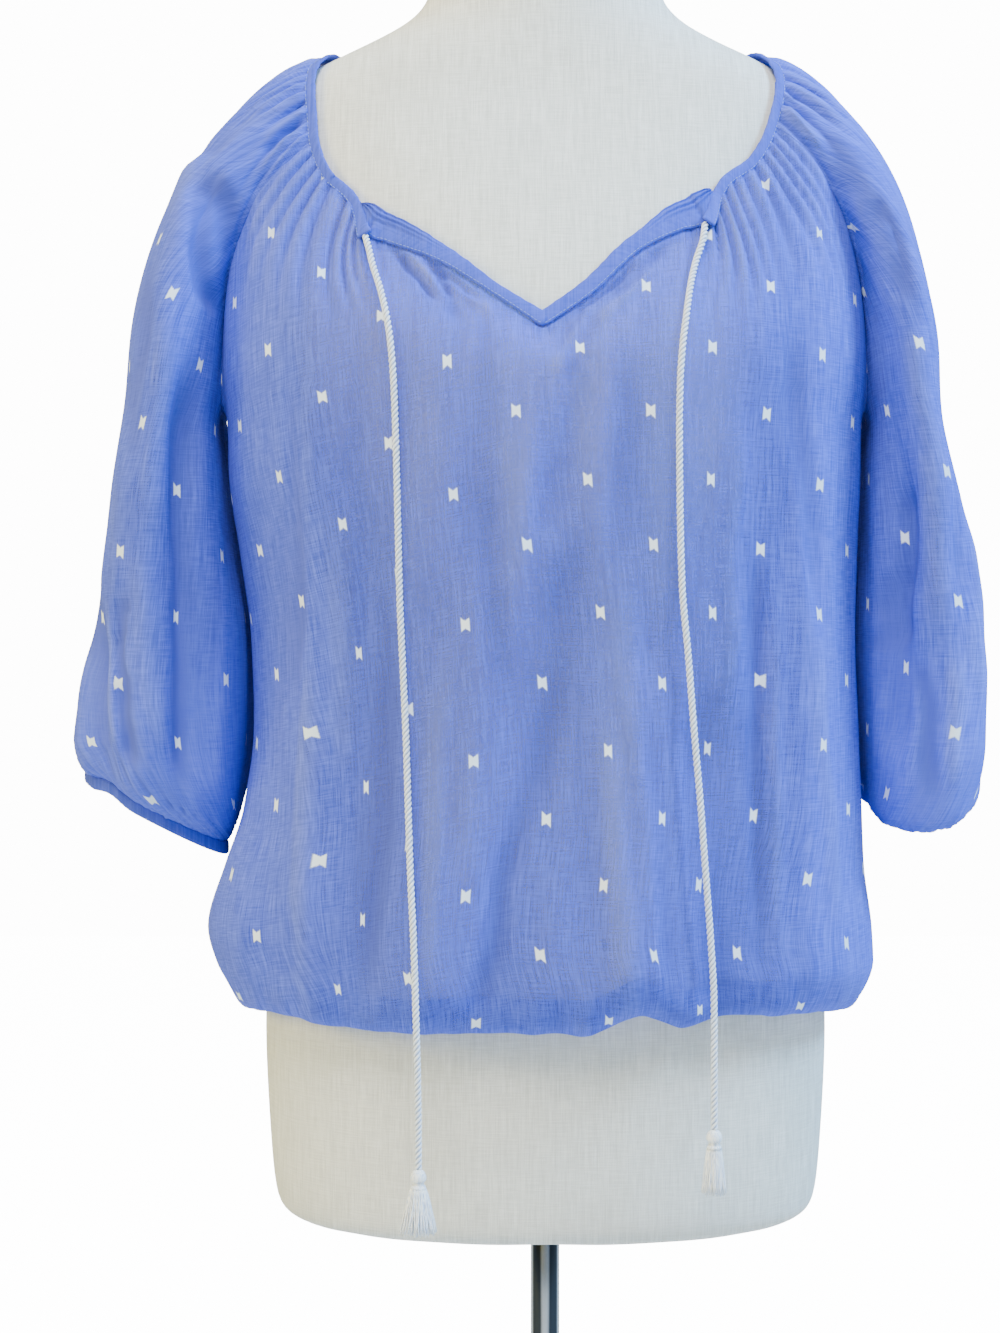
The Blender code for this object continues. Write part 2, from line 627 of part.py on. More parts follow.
def drape_body(drape, stations):
    front = [station for station in stations if station <= FRONT_SEAM]
    back = [station for station in stations if station >= BACK_SEAM]
    share_at = smooth_through([row[0] for row in FRONT_SHARE], [row[1] for row in FRONT_SHARE])
    front_shares = [share_at(station) for station in front]
    back_shares = [(BACK_MIDDLE - station) / (BACK_MIDDLE - BACK_SEAM) for station in reversed(back)]
    order = [(1, "front", i) for i in range(len(front))] + [(1, "under", 1)]
    order += [(1, "back", i) for i in reversed(range(len(back)))]
    order += [(-1, "back", i) for i in range(1, len(back))] + [(-1, "under", 1)]
    order += [(-1, "front", i) for i in reversed(range(1, len(front)))]
    rows = []
    for number, row in enumerate(BODY_SECTIONS):
        lines = {
            (side, face): spaced(body_quarter(row, side, face), front_shares if face == "front" else back_shares)
            for side in (1, -1)
            for face in ("front", "back")
        }
        found = []
        for place, (side, face, i) in enumerate(order):
            if face == "under":
                x, y = side * (row[2] if side > 0 else row[1]), 0.0
                key = ("under", side) if number == 0 else ("body", side, "under", number)
                found.append(drape.add(key, (x, y, row[0] + (0.004 if number == 0 else 0.0))))
                continue
            x, y = lines[side, face][i]
            station = front[i] if face == "front" else back[-1 - i]
            shown = 1 if station in (SLIT_FOOT, BACK_MIDDLE) else side
            key = ("rim", shown, station) if number == 0 else ("body", shown, face, i, number)
            relief = fold_relief(FRONT_FOLDS if face == "front" else BACK_FOLDS, x, row[0])
            if number < len(BODY_SECTIONS) - 1:
                sign = 1 if place % 2 else -1
                relief += sign * HEM_GATHER * gather_size(place) * (1 - fade(row[0], 0.49, HEM_GATHER_TOP))
            else:
                relief = 0.0
            found.append(drape.add(key, (x, y, row[0] + (hem_lift(x, row[0]) if face == "front" else 0.0)), relief))
        rows.append(found)
    side_seam = len(front)
    pieces = ["front"] * side_seam + ["back"] * (len(order) - 2 * side_seam)
    pieces += ["front"] * side_seam
    ring_faces(drape, rows, pieces)


def drape_sleeve(drape, stations, side):
    top = [station for station in stations if FRONT_SEAM <= station <= BACK_SEAM]
    shares = [sleeve_share(station) for station in top]
    rows = []
    for number, row in enumerate(sleeve_sections(side)):
        found = []
        for place, (x, y) in enumerate(spaced(sleeve_loop(row), shares)):
            key = ("rim", side, top[place]) if number == 0 else ("sleeve", side, place, number)
            relief = fold_relief(sleeve_folds(side), shares[place], row[0])
            if number < len(sleeve_sections(side)) - 1:
                sign = 1 if place % 2 else -1
                relief += sign * CUFF_GATHER * gather_size(place) * (1 - fade(row[0], 0.60, CUFF_GATHER_TOP))
            else:
                relief = 0.0
            found.append(drape.add(key, sleeve_place(row, side, x, y), relief))
        key = ("under", side) if number == 0 else ("sleeve", side, "under", number)
        found.append(drape.add(key, sleeve_place(row, side, row[2], 0.0)))
        rows.append(found if side > 0 else found[::-1])
    name = "sleeve_left_hand" if side < 0 else "sleeve_right_hand"
    ring_faces(drape, rows, [name] * len(rows[0]))


def clear_of_form(point, form_tree, clearance):
    spot, normal, _, _ = form_tree.find_nearest(point)
    height = (point - spot).dot(normal)
    return point if height >= clearance else spot + normal * clearance


def drape_blouse(form_tree):
    drape = Drape()
    stations = half_stations()
    ring = [(1, station) for station in stations]
    ring += [(-1, station) for station in reversed(stations[1:-1])]
    drape_yoke(drape, ring, neck_functions(), form_tree)
    drape_body(drape, stations)
    for side in (1, -1):
        drape_sleeve(drape, stations, side)
    for i, normal in enumerate(drape.normals()):
        moved = drape.points[i] + normal * drape.relief[i]
        drape.points[i] = clear_of_form(moved, form_tree, FORM_CLEARANCE)
    return drape


def cloth_piece(drape, normals, name, finish):
    """One piece as a closed wall, drawn back a little from its seams."""
    faces = [face for piece, face in drape.faces if piece == name]
    shared = {i for piece, face in drape.faces if piece != name for i in face}
    used = sorted({i for face in faces for i in face})
    pull = {i: Vector() for i in used if i in shared}
    for face in faces:
        middle = sum((drape.points[i] for i in face), Vector()) / 4
        for i in face:
            if i in pull:
                pull[i] += middle - drape.points[i]
    outer, inner = [], []
    for i in used:
        point, normal = drape.points[i], normals[i]
        if i in pull:
            along = pull[i] - normal * pull[i].dot(normal)
            point = point + along.normalized() * SEAM_HALF_GAP
        outer.append(point + normal * WALL / 2)
        inner.append(point - normal * WALL / 2)
    place = {i: number for number, i in enumerate(used)}
    count = len(used)
    made = [tuple(place[i] for i in face) for face in faces]
    edges = {}
    for face in made:
        for a, b in zip(face, face[1:] + face[:1]):
            edges[a, b] = True
    walls = [(b, a, a + count, b + count) for a, b in edges if (b, a) not in edges]
    made += [tuple(i + count for i in reversed(face)) for face in made]
    return object_from_faces(name, outer + inner, made + walls, finish)


# ---------------------------------------------------------------- bindings, bands, cords and tassels
def closed_strip(name, sections, finish, loop=False):
    """A solid through sections of four corners each; a loop has no ends."""
    points = [corner for section in sections for corner in section]
    count = len(sections)
    faces = []
    for i in range(count if loop else count - 1):
        here, there = 4 * i, 4 * ((i + 1) % count)
        for k in range(4):
            m = (k + 1) % 4
            faces.append((here + k, here + m, there + m, there + k))
    if not loop:
        faces.append((3, 2, 1, 0))
        faces.append(tuple(4 * (count - 1) + k for k in range(4)))
    return object_from_faces(name, points, faces, finish)


def neck_line(drape):
    """The neckline as (side, station, point), evened out over the gathers, turning left from the slit's foot."""
    stations = half_stations()
    ring = [(1, station) for station in stations]
    ring += [(-1, station) for station in reversed(stations[1:-1])]
    points = [drape.points[drape.index["yoke", side, station, 0]] for side, station in ring]
    count = len(ring)
    even = []
    for i, (side, station) in enumerate(ring):
        if station in (SLIT_FOOT, SLIT_CORNER):
            even.append(points[i])
        else:
            even.append((points[i - 1] + 2 * points[i] + points[(i + 1) % count]) / 4)
    return [(side, station, point) for (side, station), point in zip(ring, even)]


def binding_section(line, i, width, form_tree, shift=0.0):
    """Four corners of a binding at one place on the neckline, which it leaves toward the neck."""
    point = line[i][2]
    tangent = (line[(i + 1) % len(line)][2] - line[i - 1][2]).normalized()
    _, normal, _, _ = form_tree.find_nearest(point)
    up = normal.cross(tangent).normalized()
    corners = []
    for reach in (BINDING_GAP, BINDING_GAP + width):
        middle = clear_of_form(point + up * reach + tangent * shift, form_tree, FORM_CLEARANCE + 0.0008)
        _, lift, _, _ = form_tree.find_nearest(middle)
        corners.append((middle + lift * BINDING_HALF_WALL, middle - lift * BINDING_HALF_WALL))
    (low_out, low_in), (high_out, high_in) = corners
    return (low_out, low_in, high_in, high_out)


def make_bindings(drape, form_tree, finish):
    line = neck_line(drape)
    width_at = smooth_through([row[0] for row in SLIT_WIDTHS], [row[1] for row in SLIT_WIDTHS])
    corners = [i for i, (_, station, _) in enumerate(line) if station == SLIT_CORNER]
    first, last = corners
    sections = []
    for i in range(first, last + 1):
        shift = TOUCH_GAP if i == first else -TOUCH_GAP if i == last else 0.0
        sections.append(binding_section(line, i, NECK_BINDING_WIDTH, form_tree, shift))
    closed_strip("neck_binding", sections, finish)
    right = [(i, TOUCH_GAP if i == 0 else -TOUCH_GAP if i == first else 0.0) for i in range(first + 1)]
    left = [(i, TOUCH_GAP if i == last else 0.0) for i in range(last, len(line))] + [(0, -TOUCH_GAP)]
    for name, places in (("slit_binding_right_hand", right), ("slit_binding_left_hand", left)):
        made = [binding_section(line, i, width_at(line[i][1]), form_tree, shift) for i, shift in places]
        closed_strip(name, made, finish)


def band_sections(points, low, high, half_wall, inset=0.0):
    """Corners of an upright band round a closed line of points, from low to high above it."""
    middle = sum(points, Vector()) / len(points)
    sections = []
    for point in points:
        out = Vector((point.x - middle.x, point.y - middle.y, 0.0)).normalized()
        foot = point - out * inset + Vector((0, 0, low))
        top = foot + Vector((0, 0, high - low))
        out *= half_wall
        sections.append((foot + out, foot - out, top - out, top + out))
    return sections


def make_bands(drape, finish):
    last_row = len(BODY_SECTIONS) - 1
    hem = [drape.points[i] for key, i in drape.index.items() if key[0] == "body" and key[-1] == last_row]
    hem.sort(key=lambda point: math.atan2(point.y, point.x))
    closed_strip("hem_band", band_sections(hem, HEM_BAND_DROP, HEM_BAND_DEPTH, HEM_BAND_WALL / 2), finish, loop=True)
    for side, name in ((-1, "cuff_left_hand"), (1, "cuff_right_hand")):
        last_row = len(sleeve_sections(side)) - 1
        keys = [key for key in drape.index if key[:2] == ("sleeve", side) and key[-1] == last_row]
        cuff = [drape.points[drape.index[key]] for key in keys]
        if side < 0:
            cuff.reverse()
        sections = band_sections(cuff, -CUFF_DROP - CUFF_DEPTH, -CUFF_DROP, CUFF_WALL / 2, CUFF_INSETS[side])
        closed_strip(name, sections, finish, loop=True)


def route_points(route, count):
    """Evenly spaced points on a smooth curve through the route's own."""
    run = [0.0]
    for a, b in zip(route, route[1:]):
        run.append(run[-1] + math.dist(a, b))
    curves = [smooth_through(run, [point[axis] for point in route]) for axis in range(3)]
    fine = [tuple(curve(run[-1] * i / 600) for curve in curves) for i in range(601)]
    return spaced(fine, [i / (count - 1) for i in range(count)])


def make_cord(name, route, finish):
    curve = bpy.data.curves.new(name, "CURVE")
    curve.dimensions = "3D"
    curve.bevel_depth = CORD_DIAMETER / 2
    curve.bevel_resolution = CORD_BEVEL_STEPS
    curve.use_fill_caps = True
    points = route_points(route, CORD_POINTS)
    spline = curve.splines.new("POLY")
    spline.points.add(len(points) - 1)
    for spot, point in zip(spline.points, points):
        spot.co = (*point, 1.0)
    return add_object(name, curve, finish)


def strand_shells(x, y, top, length, flare):
    """Points and faces of a skirt's strands, each a slim three-sided taper that leans outward."""
    points, faces = [], []
    for number, (strands, root_radius, tip_share) in enumerate(STRAND_RINGS):
        for i in range(strands):
            turn = 2 * math.pi * (i + 0.5 * number) / strands
            drop_to = length * (1.0 - 0.06 * abs(math.sin(3.7 * i + number)))
            first = len(points)
            for t in STRAND_STEPS:
                reach = root_radius + (flare * tip_share - root_radius) * t**1.3
                middle = (x + reach * math.cos(turn), y + reach * math.sin(turn))
                height = top - (drop_to + STRAND_ROOT_DEPTH) * t
                for k in range(3):
                    corner = turn + 2 * math.pi * k / 3
                    spread = STRAND_RADIUS * (1.0 - 0.25 * t)
                    x_at, y_at = middle[0] + spread * math.cos(corner), middle[1] + spread * math.sin(corner)
                    points.append((x_at, y_at, height))
            for step in range(len(STRAND_STEPS) - 1):
                for k in range(3):
                    m = (k + 1) % 3
                    upper, lower = first + 3 * step, first + 3 * step + 3
                    faces.append((upper + k, lower + k, lower + m, upper + m))
            end = first + 3 * (len(STRAND_STEPS) - 1)
            faces += [(first, first + 1, first + 2), (end + 2, end + 1, end)]
    return points, faces


def make_tassel(hand, finish):
    route, length, flare = TASSELS[hand]
    x, y, cord_end = route[-1]
    top = cord_end - TOUCH_GAP
    angles = [2 * math.pi * i / TASSEL_SIDES for i in range(TASSEL_SIDES)]
    rings = []
    for share, drop in reversed(TASSEL_HEAD):
        radius = share * TASSEL_HEAD_RADIUS
        rings.append([(x + radius * math.cos(a), y + radius * math.sin(a), top - drop) for a in angles])
    tassel = stacked_rings("tassel_" + hand, rings, finish)
    root = top - TASSEL_HEAD[-1][1] + STRAND_ROOT_DEPTH
    points, faces = strand_shells(x, y, root, length, flare)
    strands = object_from_faces("strands_" + hand, points, faces, finish)
    strands.hide_render = True
    strands.display_type = "WIRE"
    union = tassel.modifiers.new("strands", "BOOLEAN")
    union.operation = "UNION"
    union.object = strands


def main():
    for old in list(bpy.data.objects):
        bpy.data.objects.remove(old)
    form = make_stand()
    form_tree = BVHTree.FromObject(form, bpy.context.evaluated_depsgraph_get())
    drape = drape_blouse(form_tree)
    normals = drape.normals()
    chambray = material("chambray", CHAMBRAY)
    binding = material("chambray_binding", CHAMBRAY_BINDING)
    for name in ("front", "back", "sleeve_left_hand", "sleeve_right_hand"):
        cloth_piece(drape, normals, name, chambray)
    make_bindings(drape, form_tree, binding)
    make_bands(drape, binding)
    cotton = material("white_cotton", WHITE_COTTON)
    make_cord("cord_left_hand", LEFT_CORD_ROUTE, cotton)
    make_cord("cord_right_hand", RIGHT_CORD_ROUTE, cotton)
    for hand in TASSELS:
        make_tassel(hand, cotton)


if __name__ == "__main__":
    main()
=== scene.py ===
"""A peasant blouse worn by a limbless dress form, with its cloth, trims, ties and studio.

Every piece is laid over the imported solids, which set its size and place. Metres, +Z up, the blouse faces -Y.
"""

import math

import bpy
import numpy as np
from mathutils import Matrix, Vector
from mathutils.bvhtree import BVHTree


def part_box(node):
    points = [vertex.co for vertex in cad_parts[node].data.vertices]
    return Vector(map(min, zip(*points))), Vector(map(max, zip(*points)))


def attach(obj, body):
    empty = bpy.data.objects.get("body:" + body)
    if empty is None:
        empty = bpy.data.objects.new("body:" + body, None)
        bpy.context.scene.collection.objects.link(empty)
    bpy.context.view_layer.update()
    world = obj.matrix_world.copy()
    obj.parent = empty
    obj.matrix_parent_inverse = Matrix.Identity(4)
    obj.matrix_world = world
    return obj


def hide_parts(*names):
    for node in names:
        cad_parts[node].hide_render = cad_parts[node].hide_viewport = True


bl_info = {
    "name": "Peasant blouse on a dress form",
    "version": (1, 0, 0),
    "blender": (4, 5, 0),
    "location": "View3D > Sidebar > Blouse",
    "description": "Builds a gathered voile blouse with tasselled ties on a linen-covered dress form",
    "category": "Add Mesh",
}

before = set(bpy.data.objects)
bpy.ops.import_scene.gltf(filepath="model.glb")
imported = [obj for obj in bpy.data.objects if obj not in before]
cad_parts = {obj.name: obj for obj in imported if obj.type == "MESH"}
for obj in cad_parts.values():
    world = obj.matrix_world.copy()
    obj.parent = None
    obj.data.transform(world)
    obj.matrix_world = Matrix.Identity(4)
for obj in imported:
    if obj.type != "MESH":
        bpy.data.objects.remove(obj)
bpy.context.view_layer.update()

# ---------------------------------------------------------------- the draped surface
# Stations run from the slit's foot over the shoulder to the middle of the back: 4 is the slit's corner,
# 7 and 10 are the raglan seams. Columns: station, x, y, z, degrees of fall from the neck, reach.
NECK_RIGHT_HAND = (
    (0, -0.0035, -0.1222, 0.9050, 72, 0.010),
    (1, 0.0262, -0.1150, 0.9255, 70, 0.014),
    (2, 0.0560, -0.1030, 0.9540, 66, 0.022),
    (3, 0.0800, -0.0945, 0.9670, 62, 0.030),
    (4, 0.0985, -0.0870, 0.9750, 56, 0.036),
    (5, 0.1120, -0.0760, 0.9980, 50, 0.045),
    (6, 0.1300, -0.0655, 1.0130, 42, 0.055),
    (7, 0.1430, -0.0530, 1.0380, 34, 0.060),
    (8, 0.1500, -0.0380, 1.0680, 22, 0.068),
    (9, 0.1380, 0.0020, 1.0960, 14, 0.075),
    (10, 0.1080, 0.0640, 1.0760, 34, 0.060),
    (11, 0.0600, 0.0830, 1.0600, 62, 0.050),
    (12, 0.0000, 0.0900, 1.0520, 70, 0.050),
)
NECK_LEFT_HAND = (
    (0, -0.0035, -0.1222, 0.9050, 72, 0.010),
    (1, -0.0325, -0.1150, 0.9245, 70, 0.014),
    (2, -0.0640, -0.1035, 0.9460, 66, 0.022),
    (3, -0.0940, -0.0920, 0.9610, 62, 0.030),
    (4, -0.1115, -0.0835, 0.9710, 56, 0.036),
    (5, -0.1240, -0.0730, 0.9900, 50, 0.045),
    (6, -0.1385, -0.0640, 1.0050, 42, 0.055),
    (7, -0.1475, -0.0530, 1.0280, 34, 0.060),
    (8, -0.1505, -0.0380, 1.0640, 22, 0.068),
    (9, -0.1400, 0.0020, 1.0950, 14, 0.075),
    (10, -0.1080, 0.0640, 1.0760, 34, 0.060),
    (11, -0.0600, 0.0830, 1.0600, 62, 0.050),
    (12, 0.0000, 0.0900, 1.0520, 70, 0.050),
)
SLIT_FOOT, SLIT_CORNER, FRONT_SEAM, BACK_SEAM, BACK_MIDDLE = 0, 4, 7, 10, 12
# Cells of the mesh between stations, and the share of the way over the front at which each station lies.
HALF_CELLS = (
    (SLIT_FOOT, SLIT_CORNER, 8),
    (SLIT_CORNER, FRONT_SEAM, 10),
    (FRONT_SEAM, BACK_SEAM, 18),
    (BACK_SEAM, BACK_MIDDLE, 12),
)
FRONT_SHARE = ((SLIT_FOOT, 0.0), (SLIT_CORNER, 0.46), (FRONT_SEAM, 1.0))
COLUMNS_PER_CELL = 6
UNDERARM_CELLS = 8
UNDERARM_HALF = 0.022
UNDERARM_RISE = 0.004
UNDER_SHARES = np.linspace(0, 1, UNDERARM_CELLS + 1)
# Rows of points, and how much closer together they come toward the neck or the free edge.
YOKE_ROWS, BODY_ROWS, SLEEVE_ROWS = 54, 96, 60
YOKE_CROWD, BODY_CROWD, SLEEVE_CROWD = 1.35, 1.25, 1.2
# The cloth leaves the neckline away from an upright line at this y, and arrives from above by this share.
NECK_AXIS_Y = -0.02
YOKE_ARRIVAL = 0.42
QUARTER_POINTS, UNDER_POINTS, SLEEVE_POINTS = 91, 31, 121

# Height, reach to the left, right, front and back, and squareness; the last rows roll under at the hem.
BODY_SECTIONS = (
    (0.8740, 0.2085, 0.2065, 0.1410, 0.1220, 2.35),
    (0.8680, 0.2050, 0.2030, 0.1415, 0.1220, 2.35),
    (0.8280, 0.2045, 0.2025, 0.1430, 0.1225, 2.30),
    (0.7750, 0.1975, 0.1995, 0.1445, 0.1235, 2.30),
    (0.7200, 0.1900, 0.1985, 0.1460, 0.1250, 2.30),
    (0.6600, 0.1885, 0.2000, 0.1480, 0.1270, 2.30),
    (0.6100, 0.1945, 0.2030, 0.1505, 0.1300, 2.30),
    (0.5750, 0.2060, 0.2045, 0.1535, 0.1325, 2.30),
    (0.5350, 0.2180, 0.2105, 0.1570, 0.1360, 2.30),
    (0.5130, 0.2120, 0.2115, 0.1575, 0.1360, 2.30),
    (0.4970, 0.2030, 0.2050, 0.1540, 0.1330, 2.30),
    (0.4865, 0.1955, 0.1965, 0.1450, 0.1270, 2.30),
    (0.4835, 0.1890, 0.1895, 0.1350, 0.1220, 2.30),
    (0.4895, 0.1858, 0.1858, 0.1268, 0.1208, 2.30),
)
# Height, x of the outer and inner side, depth in front and behind, tilt, sag at the front, squareness and how
# far the inner side reaches in behind the body.
LEFT_SLEEVE_SECTIONS = (
    (0.8740, 0.2680, 0.2085, 0.0860, 0.0860, 0.0, 0.0, 2.2, 0.0),
    (0.8680, 0.2690, 0.2120, 0.0860, 0.0860, 0.0, 0.0, 2.2, 0.006),
    (0.8280, 0.2760, 0.2085, 0.0840, 0.0840, 0.0, 0.0, 2.2, 0.040),
    (0.7750, 0.2850, 0.2020, 0.0800, 0.0810, 0.0, 0.0, 2.2, 0.050),
    (0.7200, 0.2940, 0.1950, 0.0770, 0.0790, 0.0, 0.0, 2.3, 0.050),
    (0.6750, 0.3010, 0.1935, 0.0740, 0.0760, 0.004, 0.0, 2.4, 0.040),
    (0.6430, 0.3020, 0.1965, 0.0690, 0.0710, 0.013, 0.002, 2.4, 0.025),
    (0.6240, 0.3000, 0.2010, 0.0560, 0.0580, 0.021, 0.004, 2.3, 0.008),
    (0.6110, 0.2970, 0.2070, 0.0370, 0.0370, 0.0235, 0.0, 2.1, 0.0),
)
RIGHT_SLEEVE_SECTIONS = (
    (0.8740, 0.2510, 0.2065, 0.0850, 0.0960, 0.0, 0.0, 2.2, 0.0),
    (0.8680, 0.2520, 0.2100, 0.0850, 0.0960, 0.0, 0.0, 2.2, 0.006),
    (0.8280, 0.2590, 0.2065, 0.0840, 0.0930, 0.0, 0.0, 2.2, 0.040),
    (0.7750, 0.2690, 0.2040, 0.0820, 0.0890, 0.0, 0.0, 2.2, 0.050),
    (0.7200, 0.2775, 0.2030, 0.0800, 0.0860, 0.0, 0.0, 2.3, 0.050),
    (0.6750, 0.2800, 0.2040, 0.0790, 0.0830, 0.0, 0.002, 2.4, 0.040),
    (0.6420, 0.2795, 0.2065, 0.0780, 0.0790, 0.002, 0.012, 2.4, 0.025),
    (0.6210, 0.2720, 0.2095, 0.0700, 0.0660, 0.006, 0.022, 2.3, 0.008),
    (0.6195, 0.2620, 0.2170, 0.0400, 0.0400, 0.008, 0.008, 2.1, 0.0),
)
# Soft folds: x where the fold starts and ends, its highest and lowest height, half width, and how far it
# stands out (a trough is below zero).
FRONT_FOLDS = (
    (0.022, 0.000, 0.910, 0.770, 0.010, -0.0040),
    (0.012, -0.041, 0.790, 0.480, 0.017, -0.0060),
    (-0.022, -0.085, 0.800, 0.480, 0.020, 0.0040),
    (-0.100, -0.118, 0.930, 0.480, 0.014, -0.0050),
    (-0.140, -0.150, 0.900, 0.540, 0.016, 0.0050),
    (-0.168, -0.165, 0.840, 0.500, 0.013, -0.0060),
    (0.052, 0.050, 0.720, 0.480, 0.018, 0.0060),
    (0.092, 0.102, 0.700, 0.480, 0.020, -0.0110),
    (0.125, 0.135, 0.900, 0.500, 0.013, -0.0050),
    (0.150, 0.160, 0.880, 0.500, 0.014, 0.0050),
    (0.078, 0.072, 0.960, 0.720, 0.012, 0.0030),
)
BACK_FOLDS = (
    (-0.150, -0.160, 0.900, 0.500, 0.015, 0.0060),
    (-0.120, -0.128, 0.960, 0.480, 0.014, -0.0060),
    (-0.080, -0.092, 0.900, 0.480, 0.020, 0.0060),
    (-0.035, -0.048, 0.980, 0.500, 0.016, -0.0070),
    (0.006, -0.004, 0.860, 0.480, 0.020, 0.0060),
    (0.046, 0.040, 0.980, 0.480, 0.015, -0.0060),
    (0.085, 0.088, 0.860, 0.480, 0.020, 0.0055),
    (0.122, 0.130, 0.940, 0.500, 0.014, -0.0060),
    (0.155, 0.160, 0.880, 0.520, 0.014, 0.0050),
)
# The same for a sleeve, placed by the share of the way round it from the front underarm seam over the outside.
LEFT_SLEEVE_FOLDS = (
    (0.34, 0.30, 0.760, 0.618, 0.045, -0.0130),
    (0.16, 0.14, 0.900, 0.620, 0.040, -0.0080),
    (0.24, 0.22, 0.860, 0.640, 0.040, 0.0050),
    (0.50, 0.52, 0.900, 0.630, 0.040, 0.0030),
    (0.66, 0.68, 0.880, 0.620, 0.045, -0.0100),
    (0.84, 0.82, 0.860, 0.620, 0.040, -0.0070),
)
RIGHT_SLEEVE_FOLDS = (
    (0.36, 0.42, 0.820, 0.622, 0.045, -0.0120),
    (0.14, 0.12, 0.860, 0.640, 0.040, -0.0080),
    (0.25, 0.27, 0.860, 0.622, 0.045, 0.0060),
    (0.60, 0.62, 0.900, 0.622, 0.045, -0.0090),
    (0.80, 0.78, 0.860, 0.630, 0.045, -0.0080),
)
HEM_LIFTS = ((0.052, 0.0150, 0.014), (0.135, 0.0060, 0.040), (-0.165, 0.0040, 0.020))
HEM_LIFT_FOOT, HEM_LIFT_TOP = 0.500, 0.550

# Creases seen from the front as lines: x and z of both ends, half width, relief. The front and the back have
# their own; a sleeve's go on behind it, a little shifted.
FRONT_CREASES = (
    (0.0208, 0.9142, 0.0035, 0.8785, 0.0030, 0.0016),
    (0.0035, 0.8785, 0.0005, 0.8296, 0.0045, 0.0011),
    (0.0262, 0.9100, 0.0090, 0.8700, 0.0035, -0.0016),
    (-0.0911, 0.9512, -0.0680, 0.9241, 0.0021, -0.0026),
    (-0.0710, 0.9482, -0.0439, 0.9202, 0.0021, -0.0030),
    (-0.0686, 0.9456, -0.0553, 0.9100, 0.0030, -0.0020),
    (-0.0850, 0.9500, -0.0600, 0.9180, 0.0026, 0.0020),
    (-0.0640, 0.9430, -0.0380, 0.9140, 0.0028, 0.0020),
    (0.0480, 0.9400, 0.0190, 0.9165, 0.0024, -0.0026),
    (0.0190, 0.9172, 0.0050, 0.8880, 0.0028, -0.0022),
    (0.0700, 0.9550, 0.0400, 0.9230, 0.0028, -0.0018),
    (0.0600, 0.9400, 0.0300, 0.9050, 0.0032, 0.0016),
    (0.0125, 0.7700, 0.0065, 0.6806, 0.0070, -0.0008),
    (0.0065, 0.6806, -0.0233, 0.5913, 0.0070, -0.0013),
    (-0.0233, 0.5913, -0.0412, 0.5019, 0.0060, -0.0020),
    (0.1275, 0.7500, 0.1290, 0.5500, 0.0042, -0.0020),
    (0.1350, 0.7300, 0.1380, 0.5400, 0.0042, 0.0016),
    (-0.1240, 0.7900, -0.1150, 0.6400, 0.0060, 0.0014),
    (-0.0960, 0.7000, -0.1060, 0.5200, 0.0060, -0.0018),
    (-0.1550, 0.8700, -0.1500, 0.7000, 0.0050, -0.0018),
    (-0.0600, 0.6900, -0.0760, 0.5150, 0.0055, 0.0016),
    (0.0300, 0.6600, 0.0420, 0.5200, 0.0060, 0.0016),
    (0.0620, 0.6500, 0.0700, 0.5100, 0.0050, -0.0018),
    (-0.1410, 0.6900, -0.1500, 0.5300, 0.0050, 0.0018),
    (0.1500, 0.8800, 0.1620, 0.7400, 0.0050, -0.0020),
    (0.1620, 0.7000, 0.1700, 0.5500, 0.0050, 0.0016),
    (-0.0150, 0.8400, -0.0230, 0.7300, 0.0060, 0.0010),
    (0.0480, 0.8800, 0.0420, 0.7600, 0.0070, -0.0010),
    (-0.0360, 0.8000, -0.0300, 0.6900, 0.0060, -0.0011),
    (0.1130, 0.8200, 0.1080, 0.6900, 0.0050, 0.0013),
)
BACK_CREASES = (
    (-0.0900, 1.0200, -0.1020, 0.9000, 0.0060, -0.0020),
    (-0.0600, 1.0300, -0.0700, 0.8800, 0.0070, 0.0018),
    (-0.0200, 1.0300, -0.0260, 0.8600, 0.0060, -0.0018),
    (0.0150, 1.0350, 0.0200, 0.8900, 0.0070, 0.0018),
    (0.0500, 1.0300, 0.0600, 0.8700, 0.0060, -0.0020),
    (0.0850, 1.0200, 0.0980, 0.9100, 0.0060, 0.0020),
    (-0.1360, 0.8600, -0.1240, 0.6300, 0.0060, 0.0018),
    (-0.0560, 0.7600, -0.0700, 0.5200, 0.0070, -0.0020),
    (0.0220, 0.7900, 0.0120, 0.5400, 0.0080, -0.0018),
    (0.0700, 0.7400, 0.0820, 0.5100, 0.0060, 0.0018),
    (0.1300, 0.8300, 0.1200, 0.6100, 0.0060, -0.0018),
    (-0.1000, 0.6700, -0.1150, 0.5100, 0.0060, 0.0016),
    (-0.0120, 0.6800, -0.0250, 0.5100, 0.0060, 0.0016),
)
